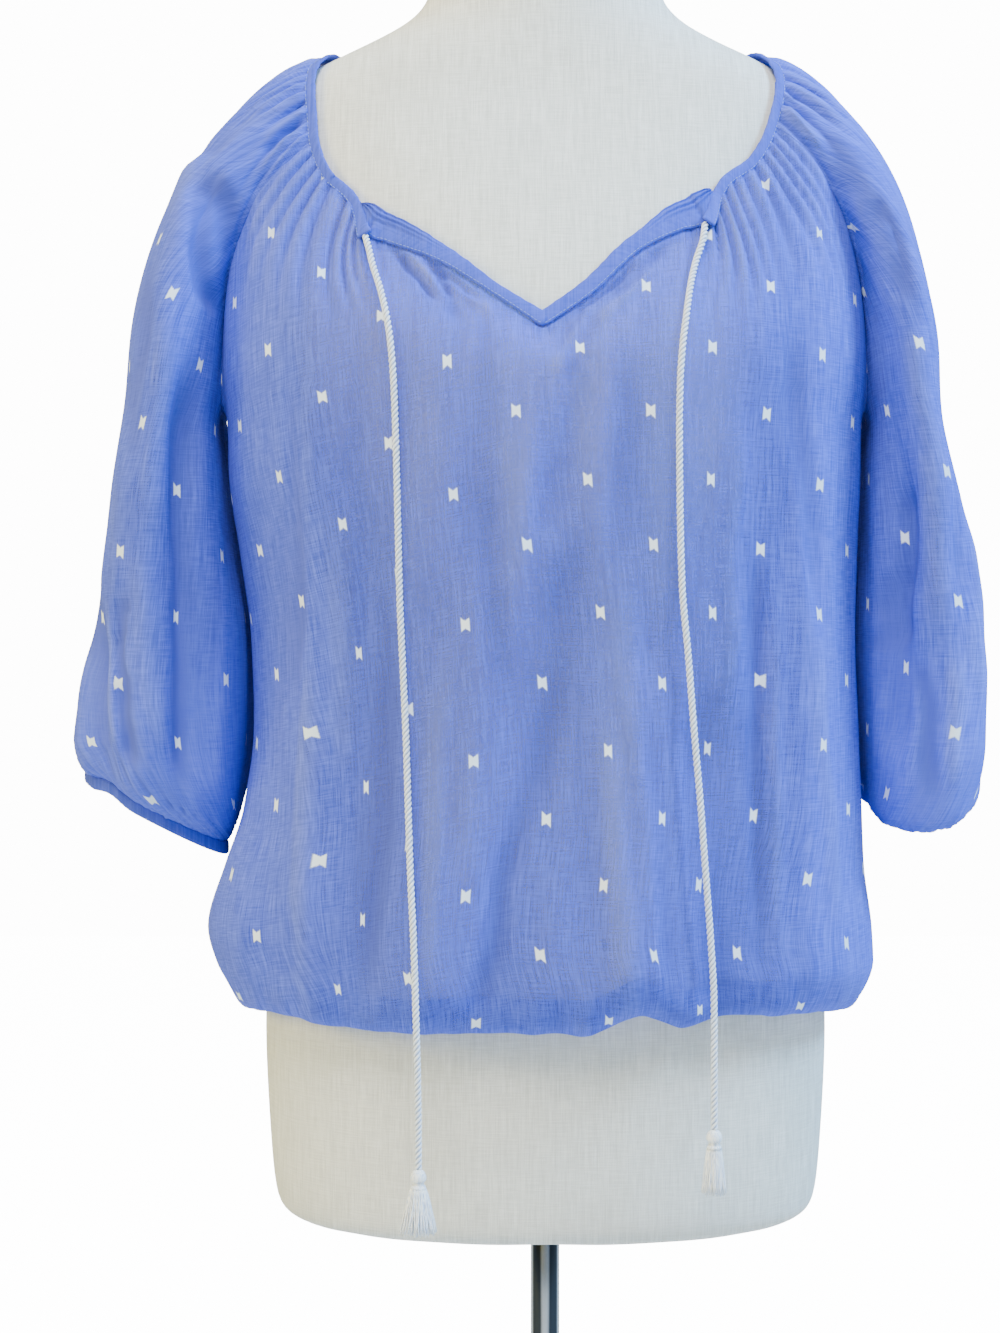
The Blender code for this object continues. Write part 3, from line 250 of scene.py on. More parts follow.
LEFT_SLEEVE_CREASES = (
    (-0.1499, 1.0356, -0.1659, 1.0264, 0.0030, 0.0022),
    (-0.1659, 1.0264, -0.1794, 0.9920, 0.0045, 0.0024),
    (-0.1474, 1.0123, -0.1665, 0.9747, 0.0036, 0.0024),
    (-0.1665, 0.9747, -0.1702, 0.9273, 0.0050, 0.0020),
    (-0.1560, 1.0420, -0.1760, 1.0250, 0.0030, -0.0018),
    (-0.2110, 1.0040, -0.1980, 0.9700, 0.0080, -0.0050),
    (-0.2169, 0.9864, -0.2102, 0.9335, 0.0050, -0.0042),
    (-0.2102, 0.9335, -0.1972, 0.9000, 0.0045, -0.0038),
    (-0.2040, 0.9500, -0.1960, 0.9150, 0.0040, 0.0030),
    (-0.1850, 1.0500, -0.2200, 1.0250, 0.0050, -0.0016),
    (-0.2250, 1.0200, -0.2350, 0.9650, 0.0060, 0.0018),
    (-0.2500, 0.9300, -0.2560, 0.8300, 0.0060, -0.0020),
    (-0.2350, 0.9000, -0.2400, 0.7800, 0.0060, 0.0018),
    (-0.2220, 0.8700, -0.2260, 0.7300, 0.0050, -0.0022),
    (-0.2616, 0.7418, -0.2666, 0.7152, 0.0050, -0.0034),
    (-0.2666, 0.7152, -0.2653, 0.6811, 0.0050, -0.0040),
    (-0.2653, 0.6811, -0.2591, 0.6439, 0.0050, -0.0040),
    (-0.2740, 0.7300, -0.2770, 0.6500, 0.0060, 0.0024),
    (-0.2480, 0.7600, -0.2430, 0.6500, 0.0050, 0.0018),
    (-0.2280, 0.7400, -0.2250, 0.6300, 0.0050, -0.0024),
    (-0.2860, 0.8000, -0.2900, 0.7000, 0.0050, -0.0016),
)
RIGHT_SLEEVE_CREASES = (
    (0.1418, 1.0590, 0.1621, 1.0356, 0.0030, 0.0020),
    (0.1621, 1.0356, 0.1689, 1.0258, 0.0030, 0.0018),
    (0.1467, 1.0664, 0.1800, 1.0356, 0.0034, -0.0018),
    (0.1400, 1.0246, 0.1646, 0.9692, 0.0036, 0.0022),
    (0.1646, 0.9692, 0.1800, 0.9261, 0.0045, 0.0018),
    (0.1500, 1.0150, 0.1850, 0.9500, 0.0040, -0.0018),
    (0.2058, 0.9883, 0.2175, 0.9649, 0.0045, -0.0026),
    (0.2175, 0.9649, 0.2243, 0.9077, 0.0050, -0.0030),
    (0.1950, 0.9900, 0.2050, 0.9200, 0.0060, 0.0020),
    (0.2211, 0.8038, 0.2174, 0.7554, 0.0045, -0.0034),
    (0.2174, 0.7554, 0.2112, 0.7164, 0.0045, -0.0036),
    (0.2330, 0.8300, 0.2360, 0.7300, 0.0060, 0.0020),
    (0.2480, 0.8700, 0.2550, 0.7400, 0.0050, -0.0018),
    (0.2600, 0.7800, 0.2640, 0.6900, 0.0050, 0.0018),
    (0.2320, 0.7000, 0.2350, 0.6300, 0.0050, -0.0026),
    (0.2480, 0.7000, 0.2480, 0.6300, 0.0045, 0.0020),
    (0.2240, 0.9300, 0.2300, 0.8500, 0.0050, 0.0018),
)

# Distances below the neckline over which folds and creases rise, and how a fold fades at its foot and its top.
FOLDS_RISE, CREASES_RISE = (0.01, 0.05), (0.001, 0.008)
FOLD_FOOT_FADE, FOLD_TOP_FADE = (-0.005, 0.030), 0.06
# Folds and creases are calm this many stations either side of the front and back seams.
FRONT_SEAM_CALM, BACK_SEAM_CALM = 0.5, 0.4
# A crease wanders by this share of its half width, each so many lengths, and fades over these shares of its length.
CREASE_WANDER, CREASE_WANDER_LENGTH, CREASE_SEED = 0.6, 0.35, 100
CREASE_FADE_IN, CREASE_FADE_OUT = (-0.25, 0.15), (0.80, 1.25)
CREASE_DEPTH = 1.7
# A sleeve's creases fade out over these depths in front and behind; those behind are shifted out and down.
SLEEVE_FACING, SLEEVE_BEHIND = (-0.030, 0.010), (-0.010, 0.030)
CREASE_SHIFT_OUT, CREASE_SHIFT_DOWN = 0.004, 0.012

# Small gathers under the neck binding, and the puckers at the cuffs and hem: spacing, relief, length.
COARSE_GATHER = (0.0095, 0.0034, 0.090)
FINE_GATHER = (0.0046, 0.0013, 0.038)
CUFF_PUCKER = (0.0104, 0.0028, 0.050)
CUFF_FINE_PUCKER = (0.0048, 0.0009, 0.020)
HEM_PUCKER = (0.0300, 0.0008, 0.045)
# The puckers rise over these distances from the cuff's and the hem's edge; the hem's start above its roll.
CUFF_EDGE, HEM_EDGE, HEM_ROLL = 0.004, 0.012, 0.020
# How unevenly gathers are spaced, and how unevenly high and long they are, each with its length in spacings.
SPACING_WANDER, HEIGHT_WANDER, LENGTH_WANDER = (0.55, 2.4), (0.45, 1.7), (0.6, 2.9)
GATHER_ROUNDNESS = 0.8
GATHER_CREST, GATHER_TROUGH = 1.6, 0.9
# The share of a gather's relief at its start, the distance over which it gets its full relief, and where it fades.
GATHER_START, GATHER_RISE, GATHER_FADE = 0.45, 0.006, 0.15
# Over the slit only this share of the gathers is left; they rise to the full between these stations.
SLIT_CALM, SLIT_CALM_STATIONS = 0.16, (3.0, 4.1)
# The gathers hang straighter down than the cloth's own lines: how much, at the front and over the shoulder.
GATHER_LEAN, GATHER_LEAN_LENGTH = (0.42, 0.10), 0.06
GATHER_LEAN_STATIONS = (4.5, 8.5)
# The cloth dips along the lower edge of a slit's band and along the raglan seams.
SLIT_DIP, SLIT_DIP_WIDTH, SLIT_DIP_END = 0.0012, 0.0011, 0.2
SEAM_DIP, SEAM_DIP_WIDTH, STATION_WIDTH = 0.0005, 0.0022, 0.03
# Small wrinkles: width, height, share and seed.
SMALL_WRINKLE = 0.0015
SMALL_WRINKLES = ((0.021, 0.120, 1.0, 1.0), (0.0095, 0.060, 0.5, 2.0))
WRINKLES_RISE, WRINKLES_END = 0.03, 0.02
# What relief, fine and broad, counts as deep in a fold.
FINE_DEPTH, BROAD_DEPTH = 0.0036, 0.0240
# Smoothing of the rim at the underarm's height before and after the relief, and of all: weight and times. It is
# held back beside the free edges.
RIM_REACH = 0.030
RIM_SMOOTHING, RIM_RELIEF_SMOOTHING, RELIEF_SMOOTHING = (0.5, 12), (0.35, 8), (0.25, 1)
EDGE_HOLD = 0.006
FRONT, SLEEVE, BACK = 0, 1, 2
NECK_CLEARANCE = 0.0033
CLOTH_THICKNESS = 0.0005
CLOTH_CLEARANCE = 0.0010
CLEARANCE_SEARCH = 0.03
# The slow wander is a sum of waves: size, rate and start. The noise's corners come from a sine's far digits.
WANDER_WAVES = ((1.0, 1.00, 0.0), (0.7, 2.13, 1.3), (0.5, 3.71, 4.1))
WANDER_TOTAL, SEED_STEP = 2.2, 17.0
LATTICE_U, LATTICE_V, LATTICE_SEED, LATTICE_SCALE = 127.1, 311.7, 74.7, 43758.5453
# How the grain leans to the right as it falls, by x, and how it drops toward the left-hand side.
GRAIN_LEAN = ((-0.16, 0.09), (-0.13, 0.13), (-0.10, 0.06), (-0.05, 0.04), (0.00, 0.05), (0.06, 0.01), (0.11, -0.05))
GRAIN_TOP, GRAIN_SHIFT, GRAIN_MIDDLE = 0.90, 0.25, -0.02
TINY, TINIER = 1e-9, 1e-12


def smooth_through(keys, values):
    """A smooth function through these values that never swings past them."""
    keys, values = np.asarray(keys, float), np.asarray(values, float)
    steps = np.diff(values) / np.diff(keys)
    product, total = steps[:-1] * steps[1:], steps[:-1] + steps[1:]
    inner = np.where(product > 0, 2 * product / np.where(total == 0, 1, total), 0.0)
    slopes = np.concatenate((steps[:1], inner, steps[-1:]))

    def value(key):
        key = np.clip(key, keys[0], keys[-1])
        i = np.clip(np.searchsorted(keys, key, side="right") - 1, 0, len(keys) - 2)
        span = keys[i + 1] - keys[i]
        t = (key - keys[i]) / span
        rise = values[i] * (1 + 2 * t) * (1 - t) ** 2 + values[i + 1] * t * t * (3 - 2 * t)
        return rise + span * (slopes[i] * t * (1 - t) ** 2 + slopes[i + 1] * t * t * (t - 1))

    return value


def table_curve(table, column=1):
    """The same, from the first column of a table to another."""
    return smooth_through([row[0] for row in table], [row[column] for row in table])


def unit(vectors):
    return vectors / np.linalg.norm(vectors, axis=-1, keepdims=True)


def circle(count):
    return 2 * math.pi * np.arange(count) / count


def power(value, exponent):
    return np.sign(value) * np.abs(value) ** exponent


def bump(offset, half_width):
    """One at the middle, falling smoothly to zero at twice the half width."""
    t = np.minimum(np.abs(offset) / (2 * half_width), 1.0)
    return (1 - t * t) ** 2


def fade(value, low, high):
    t = np.clip((value - low) / (high - low), 0.0, 1.0)
    return t * t * (3 - 2 * t)


def uneven(place, seed=0.0):
    """A slow, smooth, repeatable wander between about -1 and 1 along a line."""
    place = np.asarray(place, float) + SEED_STEP * seed
    return sum(size * np.sin(rate * place + start) for size, rate, start in WANDER_WAVES) / WANDER_TOTAL


def lattice_value(i, j, seed):
    """A repeatable number from -1 to 1 for each lattice corner."""
    wave = np.sin(i * LATTICE_U + j * LATTICE_V + seed * LATTICE_SEED) * LATTICE_SCALE
    return 2 * (wave - np.floor(wave)) - 1


def soft_noise(u, v, seed):
    """Smooth value noise with a period of about one in both directions."""
    iu, iv = np.floor(u), np.floor(v)
    fu, fv = u - iu, v - iv
    fu, fv = fu * fu * (3 - 2 * fu), fv * fv * (3 - 2 * fv)
    low, high = (
        lattice_value(iu, line, seed) * (1 - fu) + lattice_value(iu + 1, line, seed) * fu for line in (iv, iv + 1)
    )
    return low * (1 - fv) + high * fv


def fold_relief(folds, place, height):
    """Soft ridges and troughs that run down the cloth, fading at both ends."""
    total = np.zeros_like(height)
    for start, end, top, foot, half_width, relief in folds:
        run = np.clip((top - height) / (top - foot), 0.0, 1.0)
        middle = start + (end - start) * run
        ends = fade(height - foot, *FOLD_FOOT_FADE) * fade(-height, -top, FOLD_TOP_FADE - top)
        total += relief * ends * bump(place - middle, half_width)
    return total


def crease_relief(creases, x, z):
    """Soft ridges and troughs along straight lines seen from the front, fading at their ends."""
    total = np.zeros_like(x)
    for x0, z0, x1, z1, half_width, relief in creases:
        along = np.array((x1 - x0, z1 - z0))
        length = float(np.hypot(*along))
        along /= length
        run = (x - x0) * along[0] + (z - z0) * along[1]
        wander = CREASE_WANDER * half_width * uneven(run / (CREASE_WANDER_LENGTH * length), x0 * CREASE_SEED)
        off = (x - x0) * along[1] - (z - z0) * along[0] + wander
        start, end = (fade(run, low * length, high * length) for low, high in (CREASE_FADE_IN, CREASE_FADE_OUT))
        total += CREASE_DEPTH * relief * (start * (1 - end)) * bump(off, half_width)
    return total


def gather_wave(place, spacing, seed):
    """Round ridges with narrow valleys between, unevenly spaced along a line."""
    amount, length = SPACING_WANDER
    phase = place / spacing + amount * uneven(place / (length * spacing), seed)
    return GATHER_CREST * np.abs(np.sin(math.pi * phase)) ** GATHER_ROUNDNESS - GATHER_TROUGH


def gathers(place, distance, kind, seed):
    """Gathers that start at an edge and fade out at this distance from it."""
    spacing, relief, length = kind
    size, reach = (
        1.0 + amount * uneven(place / (run * spacing), seed + step)
        for (amount, run), step in ((HEIGHT_WANDER, 3), (LENGTH_WANDER, 5))
    )
    reach = length * reach
    rise = GATHER_START + (1 - GATHER_START) * fade(distance, 0.0, GATHER_RISE)
    fall = 1 - fade(distance, GATHER_FADE * reach, reach)
    return relief * size * rise * gather_wave(place, spacing, seed) * fall


def spaced(points, shares):
    """The points at these shares of the way along a line, and its length."""
    run = run_along(points)
    return read_along(run, points, np.asarray(shares) * run[-1]), run[-1]


def read_along(run, values, goal):
    """Points or frames of a line at one or more lengths along it."""
    return np.stack([np.interp(goal, run, values[:, axis]) for axis in range(values.shape[1])], axis=-1)


def oval_line(turns, squareness, left, right, front, back):
    """Points of a squarish oval at these turns, seen from above."""
    across = power(np.cos(turns), 2 / squareness)
    deep = power(np.sin(turns), 2 / squareness)
    middle, half = (right - left) / 2, (right + left) / 2
    return np.stack([middle + half * across, np.where(deep < 0, front, back) * deep], axis=1)


def seam_turn(depth, squareness):
    """The turn from the X axis at which an underarm seam lies on a section."""
    return math.asin(min((UNDERARM_HALF / depth) ** (squareness / 2), 1.0))


def body_shares(stations, face):
    """The share of the way from the middle of the front or the back to its seam."""
    if face == "front":
        return table_curve(FRONT_SHARE)(stations)
    return (BACK_MIDDLE - stations) / (BACK_MIDDLE - BACK_SEAM)


def sleeve_share(stations):
    """The share of the way over a sleeve from its front seam to its back seam."""
    return (stations - FRONT_SEAM) / (BACK_SEAM - FRONT_SEAM)


def rows_through(sections, count, crowd):
    """Section rows read from smooth curves through the given ones, closer together toward the end."""
    table = np.array(sections)
    run = np.concatenate(([0.0], np.cumsum(np.hypot(np.diff(table[:, 0]), np.diff(table[:, 3])))))
    goals = run[-1] * (1 - (1 - np.linspace(0, 1, count + 1)) ** crowd)
    return np.stack([smooth_through(run, table[:, i])(goals) for i in range(table.shape[1])], axis=1)


def half_stations():
    """The stations of all columns of one half of the blouse."""
    stations = [0.0]
    for start, end, cells in HALF_CELLS:
        fine = cells * COLUMNS_PER_CELL
        stations += [start + (end - start) * (i + 1) / fine for i in range(fine)]
    return np.round(np.array(stations), 6)


def body_line(row, side, face, under=False):
    """Points of a body section from the middle of the front or back to its seam, or under the arm to the X axis."""
    _, left, right, front, back, squareness = row
    sign, depth = (-1, front) if face == "front" else (1, back)
    seam = seam_turn(depth, squareness)
    turns = np.linspace(seam, 0, UNDER_POINTS) if under else np.linspace(math.pi / 2, seam, QUARTER_POINTS)
    return oval_line(sign * (turns if side > 0 else math.pi - turns), squareness, left, right, front, back)


def sleeve_line(row, start, end):
    """Points of a sleeve's section between two turns, on the right-hand side."""
    _, outer, inner, front, back, _, _, squareness, tuck = row
    line = oval_line(np.linspace(start, end, SLEEVE_POINTS), squareness, -inner, outer, front, back)
    inward = np.maximum(outer + inner - 2 * line[:, 0], 0.0) / (outer - inner)
    line[:, 0] -= tuck * inward * (np.maximum(line[:, 1], 0.0) / back) ** 2
    return line


def sleeve_turns(row):
    """The turns at which a sleeve's front and back seams lie on a section."""
    front, back, squareness = row[3], row[4], row[7]
    return -math.pi + seam_turn(front, squareness), math.pi - seam_turn(back, squareness)


def sleeve_place(row, side, flat):
    """Points of a sleeve section in space: tilted across, sagging at the front."""
    height, outer, inner, front, _, tilt, sag = row[:7]
    x, y = flat.T
    lean = tilt * (x - (outer + inner) / 2) / ((outer - inner) / 2)
    return np.stack([side * x, y, height + lean - sag * np.maximum(-y / front, 0.0)], axis=1)


def sleeve_sections(side):
    return LEFT_SLEEVE_SECTIONS if side < 0 else RIGHT_SLEEVE_SECTIONS


class Surface:
    """The whole blouse as one surface of shared points; every face is marked with its piece."""

    FACTS = ("zone", "station", "side", "distance", "climb", "share", "around", "arc", "run", "foot")

    def __init__(self):
        self.points = np.zeros((0, 3))
        self.neck = {}
        self.side_columns = {}
        self.facts = {name: np.zeros(0) for name in self.FACTS}
        self.faces = {}

    def add(self, points, **facts):
        """Adds a grid of points (columns, rows, 3) and returns their numbers in the same layout."""
        shape = points.shape[:2]
        first = len(self.points)
        self.points = np.concatenate((self.points, points.reshape(-1, 3)))
        for name in self.FACTS:
            value = np.broadcast_to(np.asarray(facts.get(name, 0.0), float), shape)
            self.facts[name] = np.concatenate((self.facts[name], value.reshape(-1)))
        return np.arange(first, len(self.points)).reshape(shape)

    def hang(self, lines, part, **facts):
        """Adds some columns of lines that hang from the underarm's height, without their first row."""
        drop = path_length(lines)
        facts.update(distance=1.0, climb=-drop, foot=drop[:, -1:] - drop)
        facts = {name: np.broadcast_to(value, drop.shape)[part, 1:] for name, value in facts.items()}
        return self.add(lines[part, 1:], **facts)

    def join(self, piece, grid, leftward=True):
        """Faces between neighbouring columns and rows; leftward columns turn left seen from above."""
        a, b = grid[:-1, :-1].ravel(), grid[:-1, 1:].ravel()
        c, d = grid[1:, 1:].ravel(), grid[1:, :-1].ravel()
        faces = np.stack([a, b, c, d] if leftward else [d, c, b, a], axis=1)
        self.faces.setdefault(piece, []).append(faces)

    def all_faces(self):
        return np.concatenate([faces for group in self.faces.values() for faces in group])

    def normals(self):
        faces = self.all_faces()
        corners = self.points[faces]
        across = np.cross(corners[:, 2] - corners[:, 0], corners[:, 3] - corners[:, 1])
        sums = np.zeros_like(self.points)
        for corner in range(4):
            np.add.at(sums, faces[:, corner], across)
        return sums / np.maximum(np.linalg.norm(sums, axis=1, keepdims=True), TINIER)

    def smooth(self, weight, times):
        """Moves each point toward the middle of its neighbours by its weight."""
        faces = self.all_faces()
        edges = np.concatenate([faces[:, (i, (i + 1) % 4)] for i in range(4)])
        near = np.bincount(edges.ravel(), minlength=len(self.points))
        for _ in range(times):
            sums = np.zeros_like(self.points)
            for end, other in ((0, 1), (1, 0)):
                np.add.at(sums, edges[:, end], self.points[edges[:, other]])
            self.points += weight[:, None] * (sums / near[:, None] - self.points)


def kept_clear(points, form_tree, clearance):
    """The points, moved out where they lie in or too near the form."""
    found = points.copy()
    for i, point in enumerate(points):
        spot, normal, _, _ = form_tree.find_nearest(point, CLEARANCE_SEARCH)
        if spot is not None and (Vector(point) - spot).dot(normal) < clearance:
            found[i] = spot + normal * clearance
    return found


def path_length(lines):
    """Length so far along each line of an array (columns, rows, 3)."""
    steps = np.linalg.norm(np.diff(lines, axis=1), axis=2)
    return np.concatenate((np.zeros((len(lines), 1)), np.cumsum(steps, axis=1)), axis=1)


def run_along(line):
    """Length so far along one line of points."""
    return path_length(line[None])[0]


def yoke_feet(side, stations):
    """Where the yoke's lines end, on the first of the sections under it."""
    row = BODY_SECTIONS[0]
    feet = np.zeros((len(stations), 3))
    feet[:, 2] = row[0]
    front, back = stations <= FRONT_SEAM, stations >= BACK_SEAM
    for face, among in (("front", front), ("back", back)):
        feet[among, :2], _ = spaced(body_line(row, side, face), body_shares(stations[among], face))
    row = sleeve_sections(side)[0]
    over = ~front & ~back
    loop, _ = spaced(sleeve_line(row, *sleeve_turns(row)), sleeve_share(stations[over]))
    feet[over, 0], feet[over, 1] = side * loop[:, 0], loop[:, 1]
    return feet


def drape_yoke(surface, stations, form_tree):
    """Lines of cloth from the neckline to the underarm's height; returns their points' numbers for each side."""
    zones = np.where(stations <= FRONT_SEAM, FRONT, np.where(stations >= BACK_SEAM, BACK, SLEEVE))
    steps = np.linspace(0, 1, YOKE_ROWS + 1)[None, :, None] ** YOKE_CROWD
    rest = 1 - steps
    grids = {}
    for side, table in ((1, NECK_RIGHT_HAND), (-1, NECK_LEFT_HAND)):
        x, y, z, fall, reach = (table_curve(table, i)(stations) for i in range(1, 6))
        start = surface.neck[side] = kept_clear(np.stack([x, y, z], axis=1), form_tree, NECK_CLEARANCE)
        feet = yoke_feet(side, stations)
        out = unit(np.stack([start[:, 0], start[:, 1] - NECK_AXIS_Y], axis=1))
        fall = np.radians(fall)
        leave = np.stack([out[:, 0] * np.cos(fall), out[:, 1] * np.cos(fall), -np.sin(fall)], axis=1)
        leave = start + reach[:, None] * leave
        arrive = feet.copy()
        arrive[:, 2] += YOKE_ARRIVAL * np.linalg.norm(start - feet, axis=1)
        ends = [point[:, None, :] for point in (start, leave, arrive, feet)]
        lines = rest**3 * ends[0] + 3 * rest**2 * steps * ends[1] + 3 * rest * steps**2 * ends[2] + steps**3 * ends[3]
        lines = kept_clear(lines.reshape(-1, 3), form_tree, NECK_CLEARANCE).reshape(lines.shape)
        distance = path_length(lines)
        around = path_length(lines.transpose(1, 0, 2)).T
        middle = np.searchsorted(stations, (FRONT_SEAM + BACK_SEAM) / 2)
        facts = {
            "zone": zones[:, None],
            "station": stations[:, None],
            "side": side,
            "distance": distance,
            "climb": distance[:, -1:] - distance,
            "share": sleeve_share(stations[:, None]),
            "around": around - around[middle : middle + 1],
            "run": run_along(start)[:, None],
            "foot": 1.0,
        }
        if side > 0:
            grids[side] = surface.add(lines, **facts)
            continue
        inner = {name: np.broadcast_to(value, distance.shape)[1:-1] for name, value in facts.items()}
        made = surface.add(lines[1:-1], **inner)
        grids[side] = np.concatenate((grids[1][:1], made, grids[1][-1:]))
    for side, grid in grids.items():
        for piece, low, high in (
            ("front", SLIT_FOOT, FRONT_SEAM),
            (sleeve_name(side), FRONT_SEAM, BACK_SEAM),
            ("back", BACK_SEAM, BACK_MIDDLE),
        ):
            among = (stations >= low) & (stations <= high)
            surface.join(piece, grid[among], leftward=side > 0)
    return grids


def sleeve_name(side):
    return "sleeve_left_hand" if side < 0 else "sleeve_right_hand"


def drape_crotches(surface):
    """The line under each arm that body and sleeve share, from each seam to the X axis."""
    numbers, row = {}, BODY_SECTIONS[0]
    known = {"distance": 1.0, "foot": 1.0}
    for side in (1, -1):
        lines = {}
        for face in ("front", "back"):
            flat, _ = spaced(body_line(row, side, face, under=True), UNDER_SHARES)
            rise = UNDERARM_RISE * (1 - np.abs(flat[:, 1]) / np.abs(flat[0, 1]))
            lines[face] = np.column_stack((flat, row[0] + rise))
        under = surface.add(lines["front"][None, -1:], side=side, station=FRONT_SEAM, **known)
        for face, seam in (("front", FRONT_SEAM), ("back", BACK_SEAM)):
            inner = surface.add(lines[face][None, 1:-1], side=side, station=seam, **known)
            numbers[side, face] = np.concatenate((inner[0], under[0]))
    return numbers


def drape_body(surface, stations, yoke, crotches):
    """The front and the back from the underarm's height to the rolled hem, with the strips under the arms."""
    rows = rows_through(BODY_SECTIONS, BODY_ROWS, BODY_CROWD)
    for face, zone in (("front", FRONT), ("back", BACK)):
        forward = face == "front"
        among = stations <= FRONT_SEAM if forward else stations >= BACK_SEAM
        chosen = stations[among]
        shares = body_shares(chosen, face)
        middle, seam = (0, -1) if forward else (-1, 0)
        middles = None
        for side in (1, -1):
            strips, unders, arcs, under_arcs = [], [], [], []
            for row in rows:
                flat, length = spaced(body_line(row, side, face), shares)
                lift = hem_lift(flat[:, 0], row[0]) if forward else 0.0
                strips.append(np.column_stack((flat, row[0] + lift + np.zeros(len(flat)))))
                arcs.append(shares * length * side)
                flat, more = spaced(body_line(row, side, face, under=True), UNDER_SHARES)
                unders.append(np.column_stack((flat, np.full(len(flat), row[0]))))
                under_arcs.append((length + UNDER_SHARES * more) * side)
            lines, under = np.stack(strips, axis=1), np.stack(unders, axis=1)
            arcs, under_arcs = np.array(arcs).T, np.array(under_arcs).T
            known = {"side": side, "zone": zone}
            if middles is None:
                made = surface.hang(lines, slice(None), station=chosen[:, None], arc=arcs, **known)
                middles = made[middle]
            else:
                part = slice(1, None) if forward else slice(0, -1)
                made = surface.hang(lines, part, station=chosen[:, None], arc=arcs, **known)
                made = np.concatenate((middles[None], made) if forward else (made, middles[None]))
            grid = np.concatenate((yoke[side][among][:, -1:], made), axis=1)
            surface.join(face, grid, leftward=side > 0)
            surface.facts["arc"][crotches[side, face]] = under_arcs[1:, 0]
            part = slice(1, None) if forward else slice(1, -1)
            made = surface.hang(under, part, station=chosen[seam], arc=under_arcs, **known)
            if forward:
                surface.side_columns[side] = made[-1]
            else:
                made = np.concatenate((made, surface.side_columns[side][None]))
            top = np.concatenate((yoke[side][among][seam, -1:], crotches[side, face]))
            strip = np.concatenate((top[:, None], np.concatenate((grid[seam][None, 1:], made))), axis=1)
            surface.join(face, strip, leftward=(side > 0) == forward)


def hem_lift(x, height):
    """How much the front's hem is lifted here."""
    weight = 1 - fade(height, HEM_LIFT_FOOT, HEM_LIFT_TOP)
    return weight * sum(lift * bump(x - middle, half) for middle, lift, half in HEM_LIFTS)


def drape_sleeve(surface, stations, yoke, crotches, side):
    """One sleeve from the underarm's height to its end, closed under the arm."""
    among = (stations >= FRONT_SEAM) & (stations <= BACK_SEAM)
    shares = sleeve_share(stations[among])
    columns = []
    for row in rows_through(sleeve_sections(side), SLEEVE_ROWS, SLEEVE_CROWD):
        start, end = sleeve_turns(row)
        over, _ = spaced(sleeve_line(row, start, end), shares)
        front, _ = spaced(sleeve_line(row, start, -math.pi), UNDER_SHARES)
        back, _ = spaced(sleeve_line(row, end, math.pi), UNDER_SHARES)
        columns.append(sleeve_place(row, side, np.concatenate((front[:0:-1], over, back[1:]))))
    lines = np.stack(columns, axis=1)
    around = path_length(lines.transpose(1, 0, 2)).T
    around -= around[len(around) // 2]
    shares = (np.arange(len(lines)) - UNDERARM_CELLS) * (shares[1] - shares[0])
    column_stations = FRONT_SEAM + np.clip(shares, 0, 1) * (BACK_SEAM - FRONT_SEAM)
    surface.facts["around"][crotches[side, "front"]] = around[UNDERARM_CELLS - 1 :: -1, 0]
    surface.facts["around"][crotches[side, "back"]] = around[-UNDERARM_CELLS:, 0]
    known = {"zone": SLEEVE, "side": side, "station": column_stations[:, None], "share": shares[:, None]}
    made = surface.hang(lines, slice(1, None), around=around, **known)
    made = np.concatenate((made[-1:], made))
    top = np.concatenate((crotches[side, "front"][::-1], yoke[side][among][:, -1], crotches[side, "back"]))
    surface.join(sleeve_name(side), np.concatenate((top[:, None], made), axis=1), leftward=side > 0)


def drawn_relief(surface):
    """The folds and creases that are placed one by one: the fine relief and the broad."""
    fact = surface.facts
    x, y, z = surface.points.T
    near_neck = fact["distance"] < 1.0
    front_calm, back_calm = (
        np.where(near_neck, fade(np.abs(fact["station"] - seam), 0.0, reach), 1.0)
        for seam, reach in ((FRONT_SEAM, FRONT_SEAM_CALM), (BACK_SEAM, BACK_SEAM_CALM))
    )
    rise, creased = fade(fact["distance"], *FOLDS_RISE), fade(fact["distance"], *CREASES_RISE)
    relief, broad = np.zeros(len(x)), np.zeros(len(x))
    for zone, folds, creases, calm in (
        (FRONT, FRONT_FOLDS, FRONT_CREASES, front_calm),
        (BACK, BACK_FOLDS, BACK_CREASES, back_calm),
    ):
        among = fact["zone"] == zone
        broad += np.where(among, fold_relief(folds, x, z) * rise * calm, 0.0)
        relief += np.where(among, crease_relief(creases, x, z) * creased * calm, 0.0)
    facing, behind = fade(-y, *SLEEVE_FACING), fade(y, *SLEEVE_BEHIND)
    for hand, folds, creases in (
        (-1, LEFT_SLEEVE_FOLDS, LEFT_SLEEVE_CREASES),
        (1, RIGHT_SLEEVE_FOLDS, RIGHT_SLEEVE_CREASES),
    ):
        drawn = crease_relief(creases, x, z) * facing
        drawn += crease_relief(creases, x - CREASE_SHIFT_OUT * hand, z + CREASE_SHIFT_DOWN) * behind
        among = (fact["zone"] == SLEEVE) & (fact["side"] == hand)
        broad += np.where(among, fold_relief(folds, fact["share"], z) * rise * front_calm * back_calm, 0.0)
        relief += np.where(among, drawn * creased * front_calm * back_calm, 0.0)
    return relief, broad


